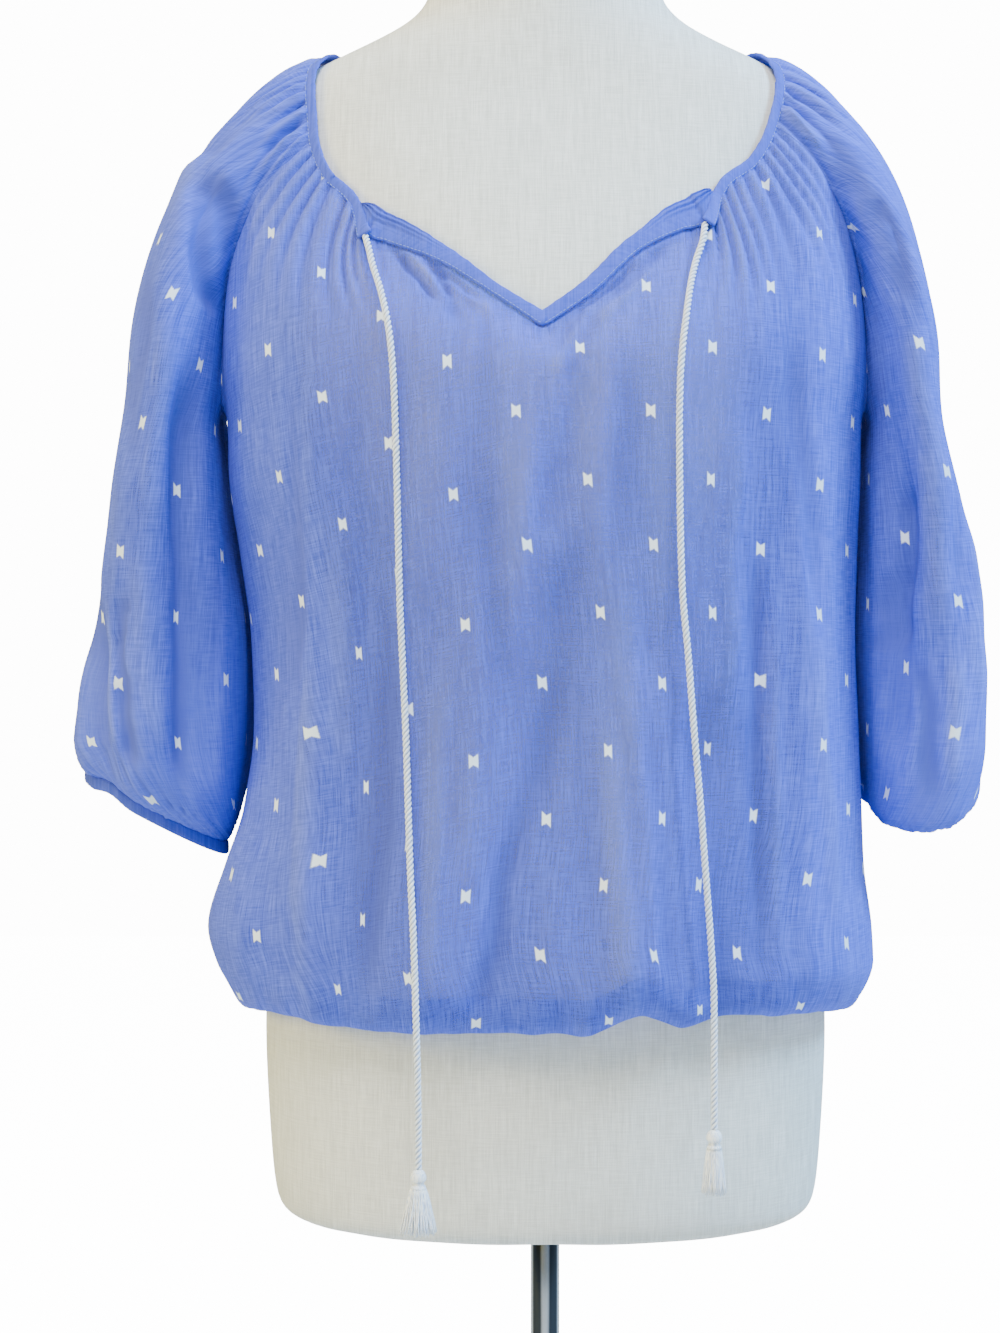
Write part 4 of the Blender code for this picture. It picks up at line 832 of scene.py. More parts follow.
def neck_gathers(fact):
    """The gathers under the neck binding, which hang straighter down than the cloth's own lines."""
    station, distance = fact["station"], fact["distance"]
    front_lean, shoulder_lean = GATHER_LEAN
    lean = front_lean + (shoulder_lean - front_lean) * fade(station, *GATHER_LEAN_STATIONS)
    lean = lean * GATHER_LEAN_LENGTH * (1 - np.exp(-distance / GATHER_LEAN_LENGTH))
    place = (fact["run"] + lean) * fact["side"]
    gathered = gathers(place, distance, COARSE_GATHER, 1.0) + gathers(place, distance, FINE_GATHER, 2.0)
    return gathered * (SLIT_CALM + (1 - SLIT_CALM) * fade(station, *SLIT_CALM_STATIONS))


def small_wrinkles(surface):
    """The fine wrinkles that all of the cloth has, longer down it than across."""
    fact = surface.facts
    x, _, z = surface.points.T
    u = np.where(fact["zone"] == SLEEVE, fact["around"], x)
    v = np.where(fact["distance"] < 1.0, z, fact["climb"] + BODY_SECTIONS[0][0])
    noise = sum(share * soft_noise(u / width, v / height, seed) for width, height, share, seed in SMALL_WRINKLES)
    return SMALL_WRINKLE * noise * fade(fact["distance"], 0.0, WRINKLES_RISE) * fade(fact["foot"], 0.0, WRINKLES_END)


def cloth_relief(surface):
    """How far each point of the cloth stands out for its folds, creases, gathers and small wrinkles, and how deep
    in a fold it lies, from -1 to 1."""
    fact = surface.facts
    station, distance, foot = fact["station"], fact["distance"], fact["foot"]
    over, near_neck = fact["zone"] == SLEEVE, distance < 1.0
    relief, broad = drawn_relief(surface)
    relief += np.where(near_neck, neck_gathers(fact), 0.0)
    left, right = (table_curve(SLIT_REACH[side])(station) for side in (-1, 1))
    below = distance - np.where(fact["side"] < 0, left, right)
    under_slit = 1 - fade(station, SLIT_CORNER, SLIT_CORNER + SLIT_DIP_END)
    relief -= np.where(near_neck, SLIT_DIP * (under_slit * bump(below - SLIT_DIP_WIDTH, SLIT_DIP_WIDTH)), 0.0)
    cuff = gathers(fact["around"], foot, CUFF_PUCKER, 3.0) + gathers(fact["around"], foot, CUFF_FINE_PUCKER, 4.0)
    relief += np.where(over & ~near_neck, cuff * fade(foot, 0.0, CUFF_EDGE), 0.0)
    hem = gathers(fact["arc"], np.maximum(foot - HEM_ROLL, 0.0), HEM_PUCKER, 5.0)
    relief += np.where(~over & ~near_neck, hem * fade(foot, 0.0, HEM_EDGE), 0.0)
    relief += small_wrinkles(surface)
    seam = np.minimum(np.abs(station - FRONT_SEAM), np.abs(station - BACK_SEAM)) * STATION_WIDTH
    relief -= np.where(near_neck, SEAM_DIP * bump(seam, SEAM_DIP_WIDTH), 0.0)
    return relief + broad, np.tanh(relief / FINE_DEPTH + broad / BROAD_DEPTH)


def drape_blouse(form_tree):
    """The whole cloth over the form: the surface, the stations of its columns and the yoke's point numbers."""
    surface = Surface()
    stations = half_stations()
    yoke = drape_yoke(surface, stations, form_tree)
    crotches = drape_crotches(surface)
    drape_body(surface, stations, yoke, crotches)
    for side in (1, -1):
        drape_sleeve(surface, stations, yoke, crotches, side)
    fact = surface.facts
    near_rim = np.exp(-((fact["climb"] / RIM_REACH) ** 2))
    weight, times = RIM_SMOOTHING
    surface.smooth(weight * near_rim, times)
    relief, surface.depth = cloth_relief(surface)
    surface.points += surface.normals() * relief[:, None]
    free = fade(fact["distance"], 0.0, EDGE_HOLD) * fade(fact["foot"], 0.0, EDGE_HOLD)
    weight, times = RIM_RELIEF_SMOOTHING
    surface.smooth(weight * near_rim * free, times)
    weight, times = RELIEF_SMOOTHING
    surface.smooth(weight * free, times)
    surface.points = kept_clear(surface.points, form_tree, CLOTH_CLEARANCE)
    return surface, stations, yoke


def grain(surface, name, used):
    """The cut's own flat coordinates in metres for the points of one piece."""
    fact = {key: value[used] for key, value in surface.facts.items()}
    x = surface.points[used, 0]
    v = fact["climb"] + BODY_SECTIONS[0][0]
    if name.startswith("sleeve"):
        return np.stack([fact["around"] * fact["side"], v], axis=1)
    arc = fact["arc"].copy()
    for side in (1, -1):
        line = body_line(BODY_SECTIONS[0], side, name)
        among = (fact["distance"] < 1.0) & (np.sign(x + TINY) == side)
        arc[among] = side * np.interp(np.abs(x[among]), np.abs(line[:, 0]), run_along(line))
    if name == "back":
        return np.stack([-arc, v], axis=1)
    lean = table_curve(GRAIN_LEAN)(x) * np.maximum(GRAIN_TOP - v, 0.0)
    return np.stack([arc - lean, v - GRAIN_SHIFT * np.minimum(x - GRAIN_MIDDLE, 0.0)], axis=1)


def linked(name, data):
    """A new object in the scene."""
    made = bpy.data.objects.new(name, data)
    bpy.context.scene.collection.objects.link(made)
    return made


def object_from(name, points, faces, uvs=None):
    """A mesh object at the origin, from its points and faces, with one UV for each point."""
    mesh = bpy.data.meshes.new(name)
    mesh.from_pydata(points.tolist(), [], faces)
    if uvs is not None:
        corners = np.zeros(len(mesh.loops), dtype=np.int32)
        mesh.loops.foreach_get("vertex_index", corners)
        mesh.uv_layers.new(name="grain").data.foreach_set("uv", uvs[corners].ravel())
    mesh.validate()
    mesh.update()
    mesh.shade_smooth()
    return linked(name, mesh)


def cloth_piece(surface, name):
    """One piece of cloth as a thin closed shell with the grain as its UV map."""
    faces = np.concatenate(surface.faces[name])
    used, numbers = np.unique(faces, return_inverse=True)
    faces = numbers.reshape(faces.shape).tolist()
    made = object_from(name + "_cloth", surface.points[used], faces, grain(surface, name, used))
    # The fold depth is what the voile's painted shade and painted highlight follow.
    layer = made.data.attributes.new("fold", "FLOAT", "POINT")
    layer.data.foreach_set("value", surface.depth[used].astype(np.float32))
    wall = made.modifiers.new("wall", "SOLIDIFY")
    wall.thickness, wall.offset = CLOTH_THICKNESS, 0.0
    apply_modifiers(made)
    return made


def only(made):
    """Makes this the one selected and active object."""
    bpy.ops.object.select_all(action="DESELECT")
    bpy.context.view_layer.objects.active = made
    made.select_set(True)


def apply_modifiers(made):
    only(made)
    for modifier in list(made.modifiers):
        bpy.ops.object.modifier_apply(modifier=modifier.name)
    made.select_set(False)


# ---------------------------------------------------------------- trims, cords and stand
NECK_BINDING_REACH = (-0.0010, 0.0064)
# Each end of the neck binding runs down over its cord: how far aside, down and off the form, and how much wider.
NECK_BINDING_TURNS = {-1: (0.0002, -0.0104, 0.0068, 0.0024), 1: (-0.0004, -0.0078, 0.0068, 0.0018)}
NECK_BINDING_TURN_LENGTH, NECK_BINDING_TURN_ONSET = 0.020, 1.5
# By station, how far a slit's band reaches below the cloth's edge and above it.
SLIT_REACH = {
    -1: ((0, 0.0018, 0.0078), (1, 0.0010, 0.0068), (2, 0.0016, 0.0096), (3, 0.0032, 0.0143), (4, 0.0066, 0.0146)),
    1: ((0, 0.0018, 0.0078), (1, 0.0010, 0.0092), (2, 0.0010, 0.0100), (3, 0.0014, 0.0165), (4, 0.0040, 0.0190)),
}
# The band goes on under the neck binding: how far, and how high its lower and upper edges are by then.
SLIT_TAILS = {
    -1: ((0.0050, 0.0010, 0.0146), (0.0100, 0.0062, 0.0128), (0.0130, 0.0075, 0.0108)),
    1: ((0.0050, 0.0010, 0.0186), (0.0100, 0.0060, 0.0178), (0.0130, 0.0090, 0.0165)),
}
# They go on in the direction of this many last points.
SLIT_TAIL_POINTS = 3
# Ridges pressed into a slit's band: their number, the stations over which they rise, the part of the band's
# width from which they show, and how far they swing along it.
SLIT_RIDGES, RIDGE_STATIONS, RIDGE_FADE = 6.0, (1.8, 3.6), (0.35, 0.65)
RIDGE_SWING, RIDGE_SWING_LENGTH = 0.5, 0.012
BINDING_CLEARANCE = 0.0027
BINDING_HALF_THICKNESS, SLIT_THICKNESS_SHARE = 0.0013, 0.8
BAND_LIFT = 0.0011
# How squarely a folded strip's section is rounded, and how thick its under side is beside its upper side.
FOLD_ROUNDNESS, BAND_ROUNDNESS = 0.75, 0.7
UNDERSIDE_SHARE = 0.8
# Puckers of a strip's two edges: their size on each trim, their length, and the shares of the lower and upper edge.
NECK_PUCKER, SLIT_PUCKER, EDGE_PUCKER_LENGTH = 0.00025, 0.00035, 0.0016
LOWER_PUCKER, UPPER_PUCKER = 0.6, 0.7
# How unevenly thick a strip is along its lower edge.
STRIP_WAVE, STRIP_WAVE_LENGTH = 0.22, 0.0023
BINDING_CORNERS, SLIT_CORNERS, BAND_CORNERS = 16, 72, 14
CUFF_DEPTH, CUFF_DROP, CUFF_COVER, CUFF_HALF_THICKNESS = 0.0070, 0.0012, 0.0014, 0.0013
CUFF_INSETS = {-1: 0.0, 1: 0.0020}
HEM_BAND_DEPTH, HEM_HALF_THICKNESS = 0.0130, 0.0010
BAND_GATHER, BAND_GATHER_SPACING = 0.0003, 0.0046
# A strip's UV steps along it and across.
STRIP_UV = (0.002, 0.001)

STITCH_PITCH, STITCH_LENGTH, STITCH_RADIUS, STITCH_SIDES = 0.0027, 0.0019, 0.00019, 6
# A stitch's shape: the place along its half length and the share of its radius.
STITCH_PROFILE = ((-1.0, 0.25), (-0.8, 0.8), (0.0, 1.0), (0.8, 0.8), (1.0, 0.25))
STITCH_AHEAD = 0.0006
# How far the stitches lie from a trim's lower edge, and how high over its middle.
NECK_STITCH_INSET, SLIT_STITCH_INSET = 0.0011, 0.0012
NECK_STITCH_HEIGHT, SLIT_STITCH_HEIGHT = 0.0012, 0.0010

BASE_EDGE = 0.006
# The base's crown: share of the radius, and of the height over the edge.
BASE_CROWN_STEPS = ((0.93, 0.30), (0.80, 0.48), (0.60, 0.68), (0.40, 0.84), (0.20, 0.96), (0.14, 1.0))
BASE_SIDES, BASE_BEVEL, BASE_BEVEL_ANGLE, FACES_UP = 128, 0.0012, math.radians(40), 0.9
ROUND_SIDES, POLE_BEVEL, COLLAR_BEVEL, BEVEL_ANGLE = 96, 0.0008, 0.0030, math.radians(30)
BEVEL_STEPS, SMOOTH_ANGLE = 3, math.radians(35)
MERGE_DISTANCE, PAIR_FACE_ANGLE, PAIR_SHAPE_ANGLE = 0.00002, math.radians(60), math.radians(80)

CORD_DIAMETER = 0.0042
CORD_STRANDS = 3
CORD_PITCH = 0.0099
CORD_SIDES = 24
CORD_STEP = 0.00055
CORD_STRAND_SHARE = 0.52
CORD_ROUTE_POINTS = 1201
# The width of a strand's lobe on the cord's UV map, and a step of one in so many points of the line.
CORD_LOBE, CORD_PATH_STEP = 0.0035, 12
LEFT_CORD_ROUTE = (
    (-0.1123, -0.0884, 0.9665),
    (-0.1095, -0.0968, 0.9569),
    (-0.1062, -0.1048, 0.9438),
    (-0.1009, -0.1160, 0.9269),
    (-0.0965, -0.1256, 0.9078),
    (-0.0937, -0.1308, 0.8878),
    (-0.0921, -0.1321, 0.8646),
    (-0.0908, -0.1336, 0.8287),
    (-0.0897, -0.1348, 0.7873),
    (-0.0885, -0.1351, 0.7397),
    (-0.0866, -0.1370, 0.6997),
    (-0.0845, -0.1404, 0.6548),
    (-0.0828, -0.1463, 0.6077),
    (-0.0815, -0.1514, 0.5768),
    (-0.0800, -0.1568, 0.5499),
    (-0.0788, -0.1583, 0.5197),
    (-0.0778, -0.1622, 0.4900),
    (-0.0770, -0.1625, 0.4600),
    (-0.0766, -0.1625, 0.4300),
    (-0.0766, -0.1625, 0.4095),
)
RIGHT_CORD_ROUTE = (
    (0.0958, -0.0933, 0.9708),
    (0.0940, -0.1006, 0.9605),
    (0.0888, -0.1090, 0.9451),
    (0.0843, -0.1223, 0.9271),
    (0.0812, -0.1326, 0.9089),
    (0.0785, -0.1386, 0.8899),
    (0.0769, -0.1408, 0.8677),
    (0.0764, -0.1414, 0.8396),
    (0.0766, -0.1429, 0.7998),
    (0.0778, -0.1432, 0.7498),
    (0.0815, -0.1448, 0.7050),
    (0.0850, -0.1448, 0.6600),
    (0.0885, -0.1447, 0.6200),
    (0.0915, -0.1446, 0.5800),
    (0.0945, -0.1446, 0.5400),
    (0.0964, -0.1446, 0.5050),
    (0.0966, -0.1446, 0.4750),
    (0.0966, -0.1446, 0.4500),
    (0.0966, -0.1446, 0.4290),
)
TOUCH_GAP = 0.0003
# A tassel's head as share of its radius and drop below the cord.
TASSEL_HEAD = (
    (0.40, 0.0000), (0.64, 0.0006), (0.86, 0.0020), (1.00, 0.0040), (0.98, 0.0056), (0.84, 0.0068),
    (0.66, 0.0074), (0.74, 0.0079), (0.64, 0.0084), (0.74, 0.0089), (0.76, 0.0094), (1.00, 0.0110), (0.40, 0.0116),
)
TASSEL_HEAD_RADIUS = 0.0047
TASSEL_HEAD_SIDES = 28
# The length and flare of a tassel's skirt, how high in the head it starts, how wide, and how it opens.
TASSEL_SKIRTS = {"left_hand": (0.0265, 0.0108), "right_hand": (0.0270, 0.0073)}
SKIRT_ROOT, SKIRT_ROOT_RADIUS, SKIRT_OPENING = 0.0020, 0.0036, 0.8
THREADS, THREAD_RADIUS, THREAD_TAPER = 300, 0.00048, 0.2
THREAD_RINGS, THREAD_SIDES = 7, 4
# A thread's own length, lean and wave: how much, and how fast they change from thread to thread or along it.
THREAD_SHORTER, THREAD_LEAN, THREAD_WAVE = (0.09, 3.7), (0.16, 2.1), (0.05, 5.0)
GOLDEN_TURN = math.pi * (3 - math.sqrt(5))


def form_normals(points, form_tree):
    """The way off the form beside each of these points."""
    return np.array([form_tree.find_nearest(point)[1][:] for point in points])


def tube_faces(rings, sides, loop=False, first=0, inward=False):
    """Faces of a tube of rings of points: closed in a loop, or capped at both ends."""
    here = np.arange(rings if loop else rings - 1)[:, None] * sides
    there = (here + sides) % (rings * sides)
    k = np.arange(sides)
    m = (k + 1) % sides
    corners = [here + k, here + m, there + m, there + k]
    if inward:
        corners = corners[:1] + corners[:0:-1]
    faces = (first + np.stack(corners, axis=-1)).reshape(-1, 4).tolist()
    if not loop:
        start, end = (list(range(low, low + sides)) for low in (first, first + (rings - 1) * sides))
        faces += [start, end[::-1]] if inward else [start[::-1], end]
    return faces


def strip_round(name, sections, loop=False):
    """A closed strip through an array of sections (sections, corners, 3), each turning about the way along it."""
    count, corners = sections.shape[:2]
    along, across = STRIP_UV
    along = np.repeat(np.arange(count) * along, corners)
    across = np.tile(np.arange(corners) * across, count)
    faces = tube_faces(count, corners, loop)
    return object_from(name, sections.reshape(-1, 3), faces, np.stack([across, along], axis=1))


def folded_sections(lower, upper, lifts, half_thickness, form_tree, ripple, corners, ridges=0.0):
    """Cross-sections of a folded strip of cloth between two edges, with small puckers along it."""
    turns = circle(corners)
    across, thick = power(np.cos(turns), FOLD_ROUNDNESS), power(np.sin(turns), FOLD_ROUNDNESS)
    share = (across + 1) / 2
    run = run_along(lower)
    ridges = np.broadcast_to(ridges, run.shape)
    sections = []
    for i, lift in enumerate(lifts):
        pucker = ripple * float(uneven(run[i] / EDGE_PUCKER_LENGTH, 1.0))
        way = (upper[i] - lower[i]) / np.linalg.norm(upper[i] - lower[i])
        ends = np.stack([lower[i] - LOWER_PUCKER * pucker * way, upper[i] + UPPER_PUCKER * pucker * way])
        ends = kept_clear(ends, form_tree, BINDING_CLEARANCE)
        middle = ends[0] + np.outer(share, ends[1] - ends[0])
        wave = 1.0 + STRIP_WAVE * float(uneven(run[i] / STRIP_WAVE_LENGTH, 2.0)) * (1 - share)
        swing = RIDGE_SWING * float(uneven(run[i] / RIDGE_SWING_LENGTH, 3.0))
        wave = wave + ridges[i] * fade(share, *RIDGE_FADE) * np.cos(share * SLIT_RIDGES * 2 * math.pi + swing)
        height = half_thickness * thick * np.where(thick > 0, wave, UNDERSIDE_SHARE)
        sections.append(middle + np.outer(height, lift))
    return np.array(sections)


def slit_edges(surface, yoke, side, stations, points, lifts):
    """Lower and upper edges of a slit's band from the apex to its end under the neck binding."""
    below, above = (table_curve(SLIT_REACH[side], i)(stations) for i in (1, 2))
    ups = unit(side * np.cross(lifts, np.gradient(points, axis=0)))
    lower = []
    for i, depth in enumerate(below):
        fall = surface.points[yoke[side][i]]
        lower.append(read_along(run_along(fall), fall, depth) + lifts[i] * BAND_LIFT)
    ahead = points[-1] - points[-1 - SLIT_TAIL_POINTS]
    ahead /= np.linalg.norm(ahead)
    upper = list(points + ups * above[:, None])
    for run, low, high in SLIT_TAILS[side]:
        lower.append(points[-1] + ahead * run + ups[-1] * low)
        upper.append(points[-1] + ahead * run + ups[-1] * high)
    lifts = np.concatenate((lifts, np.repeat(lifts[-1:], len(SLIT_TAILS[side]), axis=0)))
    return np.array(lower), np.array(upper), lifts


def make_bindings(surface, stations, yoke, form_tree):
    """The neck binding and the two slit bindings, each with the line, frames and rise of its topstitching."""
    points = np.concatenate((surface.neck[1], surface.neck[-1][-2:0:-1]))
    lifts = form_normals(points, form_tree)
    corner = int(np.searchsorted(stations, SLIT_CORNER))
    line, ups, neck_lifts, raised, wider = turned_ends(points[corner : len(points) - corner + 1], form_tree)
    low, high = NECK_BINDING_REACH
    lower, upper = line + ups * low, line + ups * (high + wider)[:, None]
    sections = folded_sections(
        lower, upper, neck_lifts, BINDING_HALF_THICKNESS, form_tree, NECK_PUCKER, BINDING_CORNERS
    )
    sections += (raised[:, None] * neck_lifts)[:, None, :]
    made = {"neck_binding": strip_round("neck_binding_fold", sections)}
    lines = {"neck_binding": (lower + ups * NECK_STITCH_INSET, neck_lifts, raised)}
    for name, side in (("slit_binding_right_hand", 1), ("slit_binding_left_hand", -1)):
        pick = np.arange(0, corner + 1) * side % len(points)
        edges = slit_edges(surface, yoke, side, stations[: corner + 1], points[pick], lifts[pick])
        lower, upper, along = (edge[::side] for edge in edges)
        tails = len(SLIT_TAILS[side])
        ridges = np.concatenate((fade(stations[: corner + 1], *RIDGE_STATIONS), np.ones(tails)))[::side]
        half_thickness = SLIT_THICKNESS_SHARE * BINDING_HALF_THICKNESS
        sections = folded_sections(lower, upper, along, half_thickness, form_tree, SLIT_PUCKER, SLIT_CORNERS, ridges)
        made[name] = strip_round(name + "_fold", sections)
        main = slice(0, -tails) if side > 0 else slice(tails, None)
        lines[name] = ((lower + unit(upper - lower) * SLIT_STITCH_INSET)[main], along[main], np.zeros(corner + 1))
    return made, lines


def turned_ends(line, form_tree):
    """The neck binding's line with its ends led down over the cords, its frames, how far it is raised and wider."""
    run = run_along(line)
    line = line.copy()
    aside, down, rise, more = np.array([NECK_BINDING_TURNS[1 if x > 0 else -1] for x in line[:, 0]]).T
    near = np.maximum(1 - np.minimum(run, run[-1] - run) / NECK_BINDING_TURN_LENGTH, 0.0) ** NECK_BINDING_TURN_ONSET
    line[:, 0] += near * np.sign(line[:, 0]) * aside
    line[:, 2] += near * down
    lifts = form_normals(line, form_tree)
    return line, unit(np.cross(lifts, np.gradient(line, axis=0))), lifts, near * rise, near * more


def loop_band(name, line, low, high, half_thickness, inset=0.0):
    """An upright elastic band round a closed line of points, with gathers pressed into it."""
    out = line - line.mean(axis=0)
    out[:, 2] = 0.0
    out = unit(out)
    up, thick = power(np.sin(circle(BAND_CORNERS)), BAND_ROUNDNESS), power(np.cos(circle(BAND_CORNERS)), BAND_ROUNDNESS)
    ridge = BAND_GATHER * gather_wave(run_along(line), BAND_GATHER_SPACING, 6.0)
    z = (low + high) / 2 + up * (high - low) / 2
    sections = []
    for i, point in enumerate(line):
        reach = thick * half_thickness + ridge[i] * (thick > 0) - inset
        sections.append(point + np.outer(reach, out[i]) + np.outer(z, (0, 0, 1)))
    return strip_round(name, np.array(sections)[:, ::-1], loop=True)


def edge_line(surface, zones, side=None):
    """Points of a free lower edge in order round it, turning left seen from above."""
    fact = surface.facts
    among = (fact["foot"] <= TINY) & np.isin(fact["zone"], zones) & (fact["distance"] >= 1.0)
    if side is not None:
        among &= fact["side"] == side
    points = surface.points[among]
    middle = points.mean(axis=0)
    return points[np.argsort(np.arctan2(points[:, 1] - middle[1], points[:, 0] - middle[0]))]


def stitches(name, line, lifts, raised, form_tree, height):
    """A row of short thread stitches along a trim, as one mesh."""
    base = kept_clear(line, form_tree, BINDING_CLEARANCE) + lifts * (height + raised)[:, None]
    run = run_along(base)
    points, faces = [], []
    for n in range(1, int(run[-1] / STITCH_PITCH)):
        goal = n * STITCH_PITCH
        spot, ahead = (read_along(run, base, place) for place in (goal, goal + STITCH_AHEAD))
        lift = read_along(run, lifts, goal)
        way = (ahead - spot) / max(np.linalg.norm(ahead - spot), TINY)
        aside = np.cross(way, lift)
        faces += tube_faces(len(STITCH_PROFILE), STITCH_SIDES, first=len(points))
        for along, size in STITCH_PROFILE:
            for turn in circle(STITCH_SIDES):
                offset = aside * math.cos(turn) * STITCH_RADIUS * size + lift * math.sin(turn) * STITCH_RADIUS * size
                points.append(spot + way * along * STITCH_LENGTH / 2 + offset)
    return object_from(name, np.array(points), faces)


def route_line(route, step):
    """Close points on a smooth curve through a cord's route, and its length."""
    route = np.array(route)
    run = run_along(route)
    even = np.linspace(0, run[-1], CORD_ROUTE_POINTS)
    fine = np.stack([smooth_through(run, route[:, axis])(even) for axis in range(3)], axis=1)
    length = run_along(fine)[-1]
    points, _ = spaced(fine, np.linspace(0, 1, int(length / step) + 1))
    return points, length


def make_rope(name, route):
    """A laid cord: round strands twisted about each other along the route."""
    line, length = route_line(route, CORD_STEP)
    tangents = unit(np.gradient(line, axis=0))
    aside = unit(np.cross(tangents, (1.0, 0.0, 0.0)))
    other = np.cross(tangents, aside)
    radius = CORD_DIAMETER / 2
    strand = CORD_STRAND_SHARE * radius
    offset = radius - strand
    run = run_along(line)[:, None]
    turns = circle(CORD_SIDES)[None]
    lobe = 2 * math.pi / CORD_STRANDS
    angle = (turns - 2 * math.pi * run / CORD_PITCH + lobe / 2) % lobe - lobe / 2
    reach = offset * np.cos(angle) + np.sqrt(strand**2 - (offset * np.sin(angle)) ** 2)
    around = np.cos(turns)[..., None] * aside[:, None] + np.sin(turns)[..., None] * other[:, None]
    points = line[:, None] + reach[..., None] * around
    uvs = np.stack([np.abs(angle) / lobe * CORD_LOBE, np.repeat(run, CORD_SIDES, axis=1)], axis=-1)
    made = object_from(name, points.reshape(-1, 3), tube_faces(len(line), CORD_SIDES), uvs.reshape(-1, 2))
    return made, line, length


def make_tassel(hand, route):
    """A wound head over a skirt of loose threads."""
    x, y, cord_end = route[-1]
    top = cord_end - TOUCH_GAP
    points = [
        (x + share * TASSEL_HEAD_RADIUS * math.cos(turn), y + share * TASSEL_HEAD_RADIUS * math.sin(turn), top - drop)
        for share, drop in TASSEL_HEAD[::-1]
        for turn in circle(TASSEL_HEAD_SIDES)
    ]
    faces = tube_faces(len(TASSEL_HEAD), TASSEL_HEAD_SIDES)
    length, flare = TASSEL_SKIRTS[hand]
    root = top - TASSEL_HEAD[-2][1] + SKIRT_ROOT
    for n in range(THREADS):
        share = math.sqrt((n + 0.5) / THREADS)
        (shorter, own_length), (lean_by, own_lean), (wave, own_wave) = THREAD_SHORTER, THREAD_LEAN, THREAD_WAVE
        drop = length * (1.0 - shorter * abs(math.sin(own_length * n))) + SKIRT_ROOT
        faces += tube_faces(THREAD_RINGS, THREAD_SIDES, first=len(points), inward=True)
        for i in range(THREAD_RINGS):
            t = i / (THREAD_RINGS - 1)
            reach = share * (SKIRT_ROOT_RADIUS + (flare - SKIRT_ROOT_RADIUS) * t**SKIRT_OPENING)
            lean = n * GOLDEN_TURN + lean_by * math.sin(own_lean * n) * t + wave * math.sin(own_wave * t + n)
            spread = THREAD_RADIUS * (1.0 - THREAD_TAPER * t)
            for corner in lean + circle(THREAD_SIDES):
                across, deep = (reach * f(lean) + spread * f(corner) for f in (math.cos, math.sin))
                points.append((x + across, y + deep, root - drop * t))
    return object_from("tassel_" + hand + "_threads", np.array(points), faces)


def fresh_copy(node, name):
    """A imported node's mesh as a new object with its doubles merged and its triangles paired."""
    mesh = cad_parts[node].data.copy()
    mesh.materials.clear()
    made = linked(name, mesh)
    edit(made)
    bpy.ops.mesh.select_all(action="SELECT")
    bpy.ops.mesh.remove_doubles(threshold=MERGE_DISTANCE)
    bpy.ops.mesh.tris_convert_to_quads(face_threshold=PAIR_FACE_ANGLE, shape_threshold=PAIR_SHAPE_ANGLE)
    bpy.ops.object.mode_set(mode="OBJECT")
    return made


def edit(made):
    only(made)
    bpy.ops.object.mode_set(mode="EDIT")


def place_in_mesh(made, name):
    """Names an added primitive and moves its place into its mesh."""
    made.name = made.data.name = name
    bpy.ops.object.transform_apply(location=True, rotation=True, scale=True)
    return made


def make_form():
    """The dress form's own solid, rounded."""
    made = fresh_copy("dress_form", "dress_form_cover")
    smooth = made.modifiers.new("round", "SUBSURF")
    smooth.levels = smooth.render_levels = 2
    apply_modifiers(made)
    made.data.shade_smooth()
    return made


def cylinder(name, sides, radius, low, high):
    """An upright cylinder on the Z axis between two heights."""
    bpy.ops.object.select_all(action="DESELECT")
    bpy.ops.mesh.primitive_cylinder_add(
        vertices=sides, radius=radius, depth=high - low, location=(0, 0, (high + low) / 2)
    )
    return place_in_mesh(bpy.context.active_object, name)


def soften(made, width, angle):
    """Rounds a piece's edges that are sharper than this angle, and shades it smooth."""
    edge = made.modifiers.new("edge", "BEVEL")
    edge.width, edge.segments, edge.limit_method, edge.angle_limit = width, BEVEL_STEPS, "ANGLE", angle
    apply_modifiers(made)
    made.select_set(True)
    bpy.ops.object.shade_smooth_by_angle(angle=SMOOTH_ANGLE)
    made.select_set(False)
    return made


def turned_piece(node, name, bevel):
    """A round piece as tall and wide as its solid, with a softened edge."""
    low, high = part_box(node)
    made = cylinder(name, ROUND_SIDES, (high[0] - low[0]) / 2, low[2], high[2])
    return soften(made, bevel, BEVEL_ANGLE)


def make_base():
    """A flat round base: an edge, then a low crown up to the collar."""
    low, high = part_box("base")
    radius = reached = (high[0] - low[0]) / 2
    made = cylinder("base_plate", BASE_SIDES, radius, 0.0, BASE_EDGE)
    edit(made)
    bpy.ops.mesh.select_mode(type="FACE")
    bpy.ops.mesh.select_all(action="DESELECT")
    bpy.ops.object.mode_set(mode="OBJECT")
    for face in made.data.polygons:
        face.select = face.normal.z > FACES_UP
    bpy.ops.object.mode_set(mode="EDIT")
    level = BASE_EDGE
    for share, rise in BASE_CROWN_STEPS:
        height = BASE_EDGE + rise * (high[2] - BASE_EDGE)
        bpy.ops.mesh.inset(thickness=reached - share * radius, depth=0)
        bpy.ops.transform.translate(value=(0, 0, height - level))
        reached, level = share * radius, height
    bpy.ops.object.mode_set(mode="OBJECT")
    return soften(made, BASE_BEVEL, BASE_BEVEL_ANGLE)


# ---------------------------------------------------------------- materials
CLOTH_ROUGHNESS, LINEN_ROUGHNESS, COTTON_ROUGHNESS = 0.9, 0.88, 0.8
CLOTH_SHEEN = {"Specular_IOR_Level": 0.12, "Sheen_Weight": 0.02, "Sheen_Roughness": 0.6}
LINEN_SHEEN = {"Sheen_Weight": 0.08, "Sheen_Roughness": 0.6}
COTTON_SHEEN = {"Sheen_Weight": 0.15, "Sheen_Roughness": 0.5}
CLOTH_YARNS, LINEN_YARNS, TRIM_SLUB = 2300.0, 1500.0, 1.2
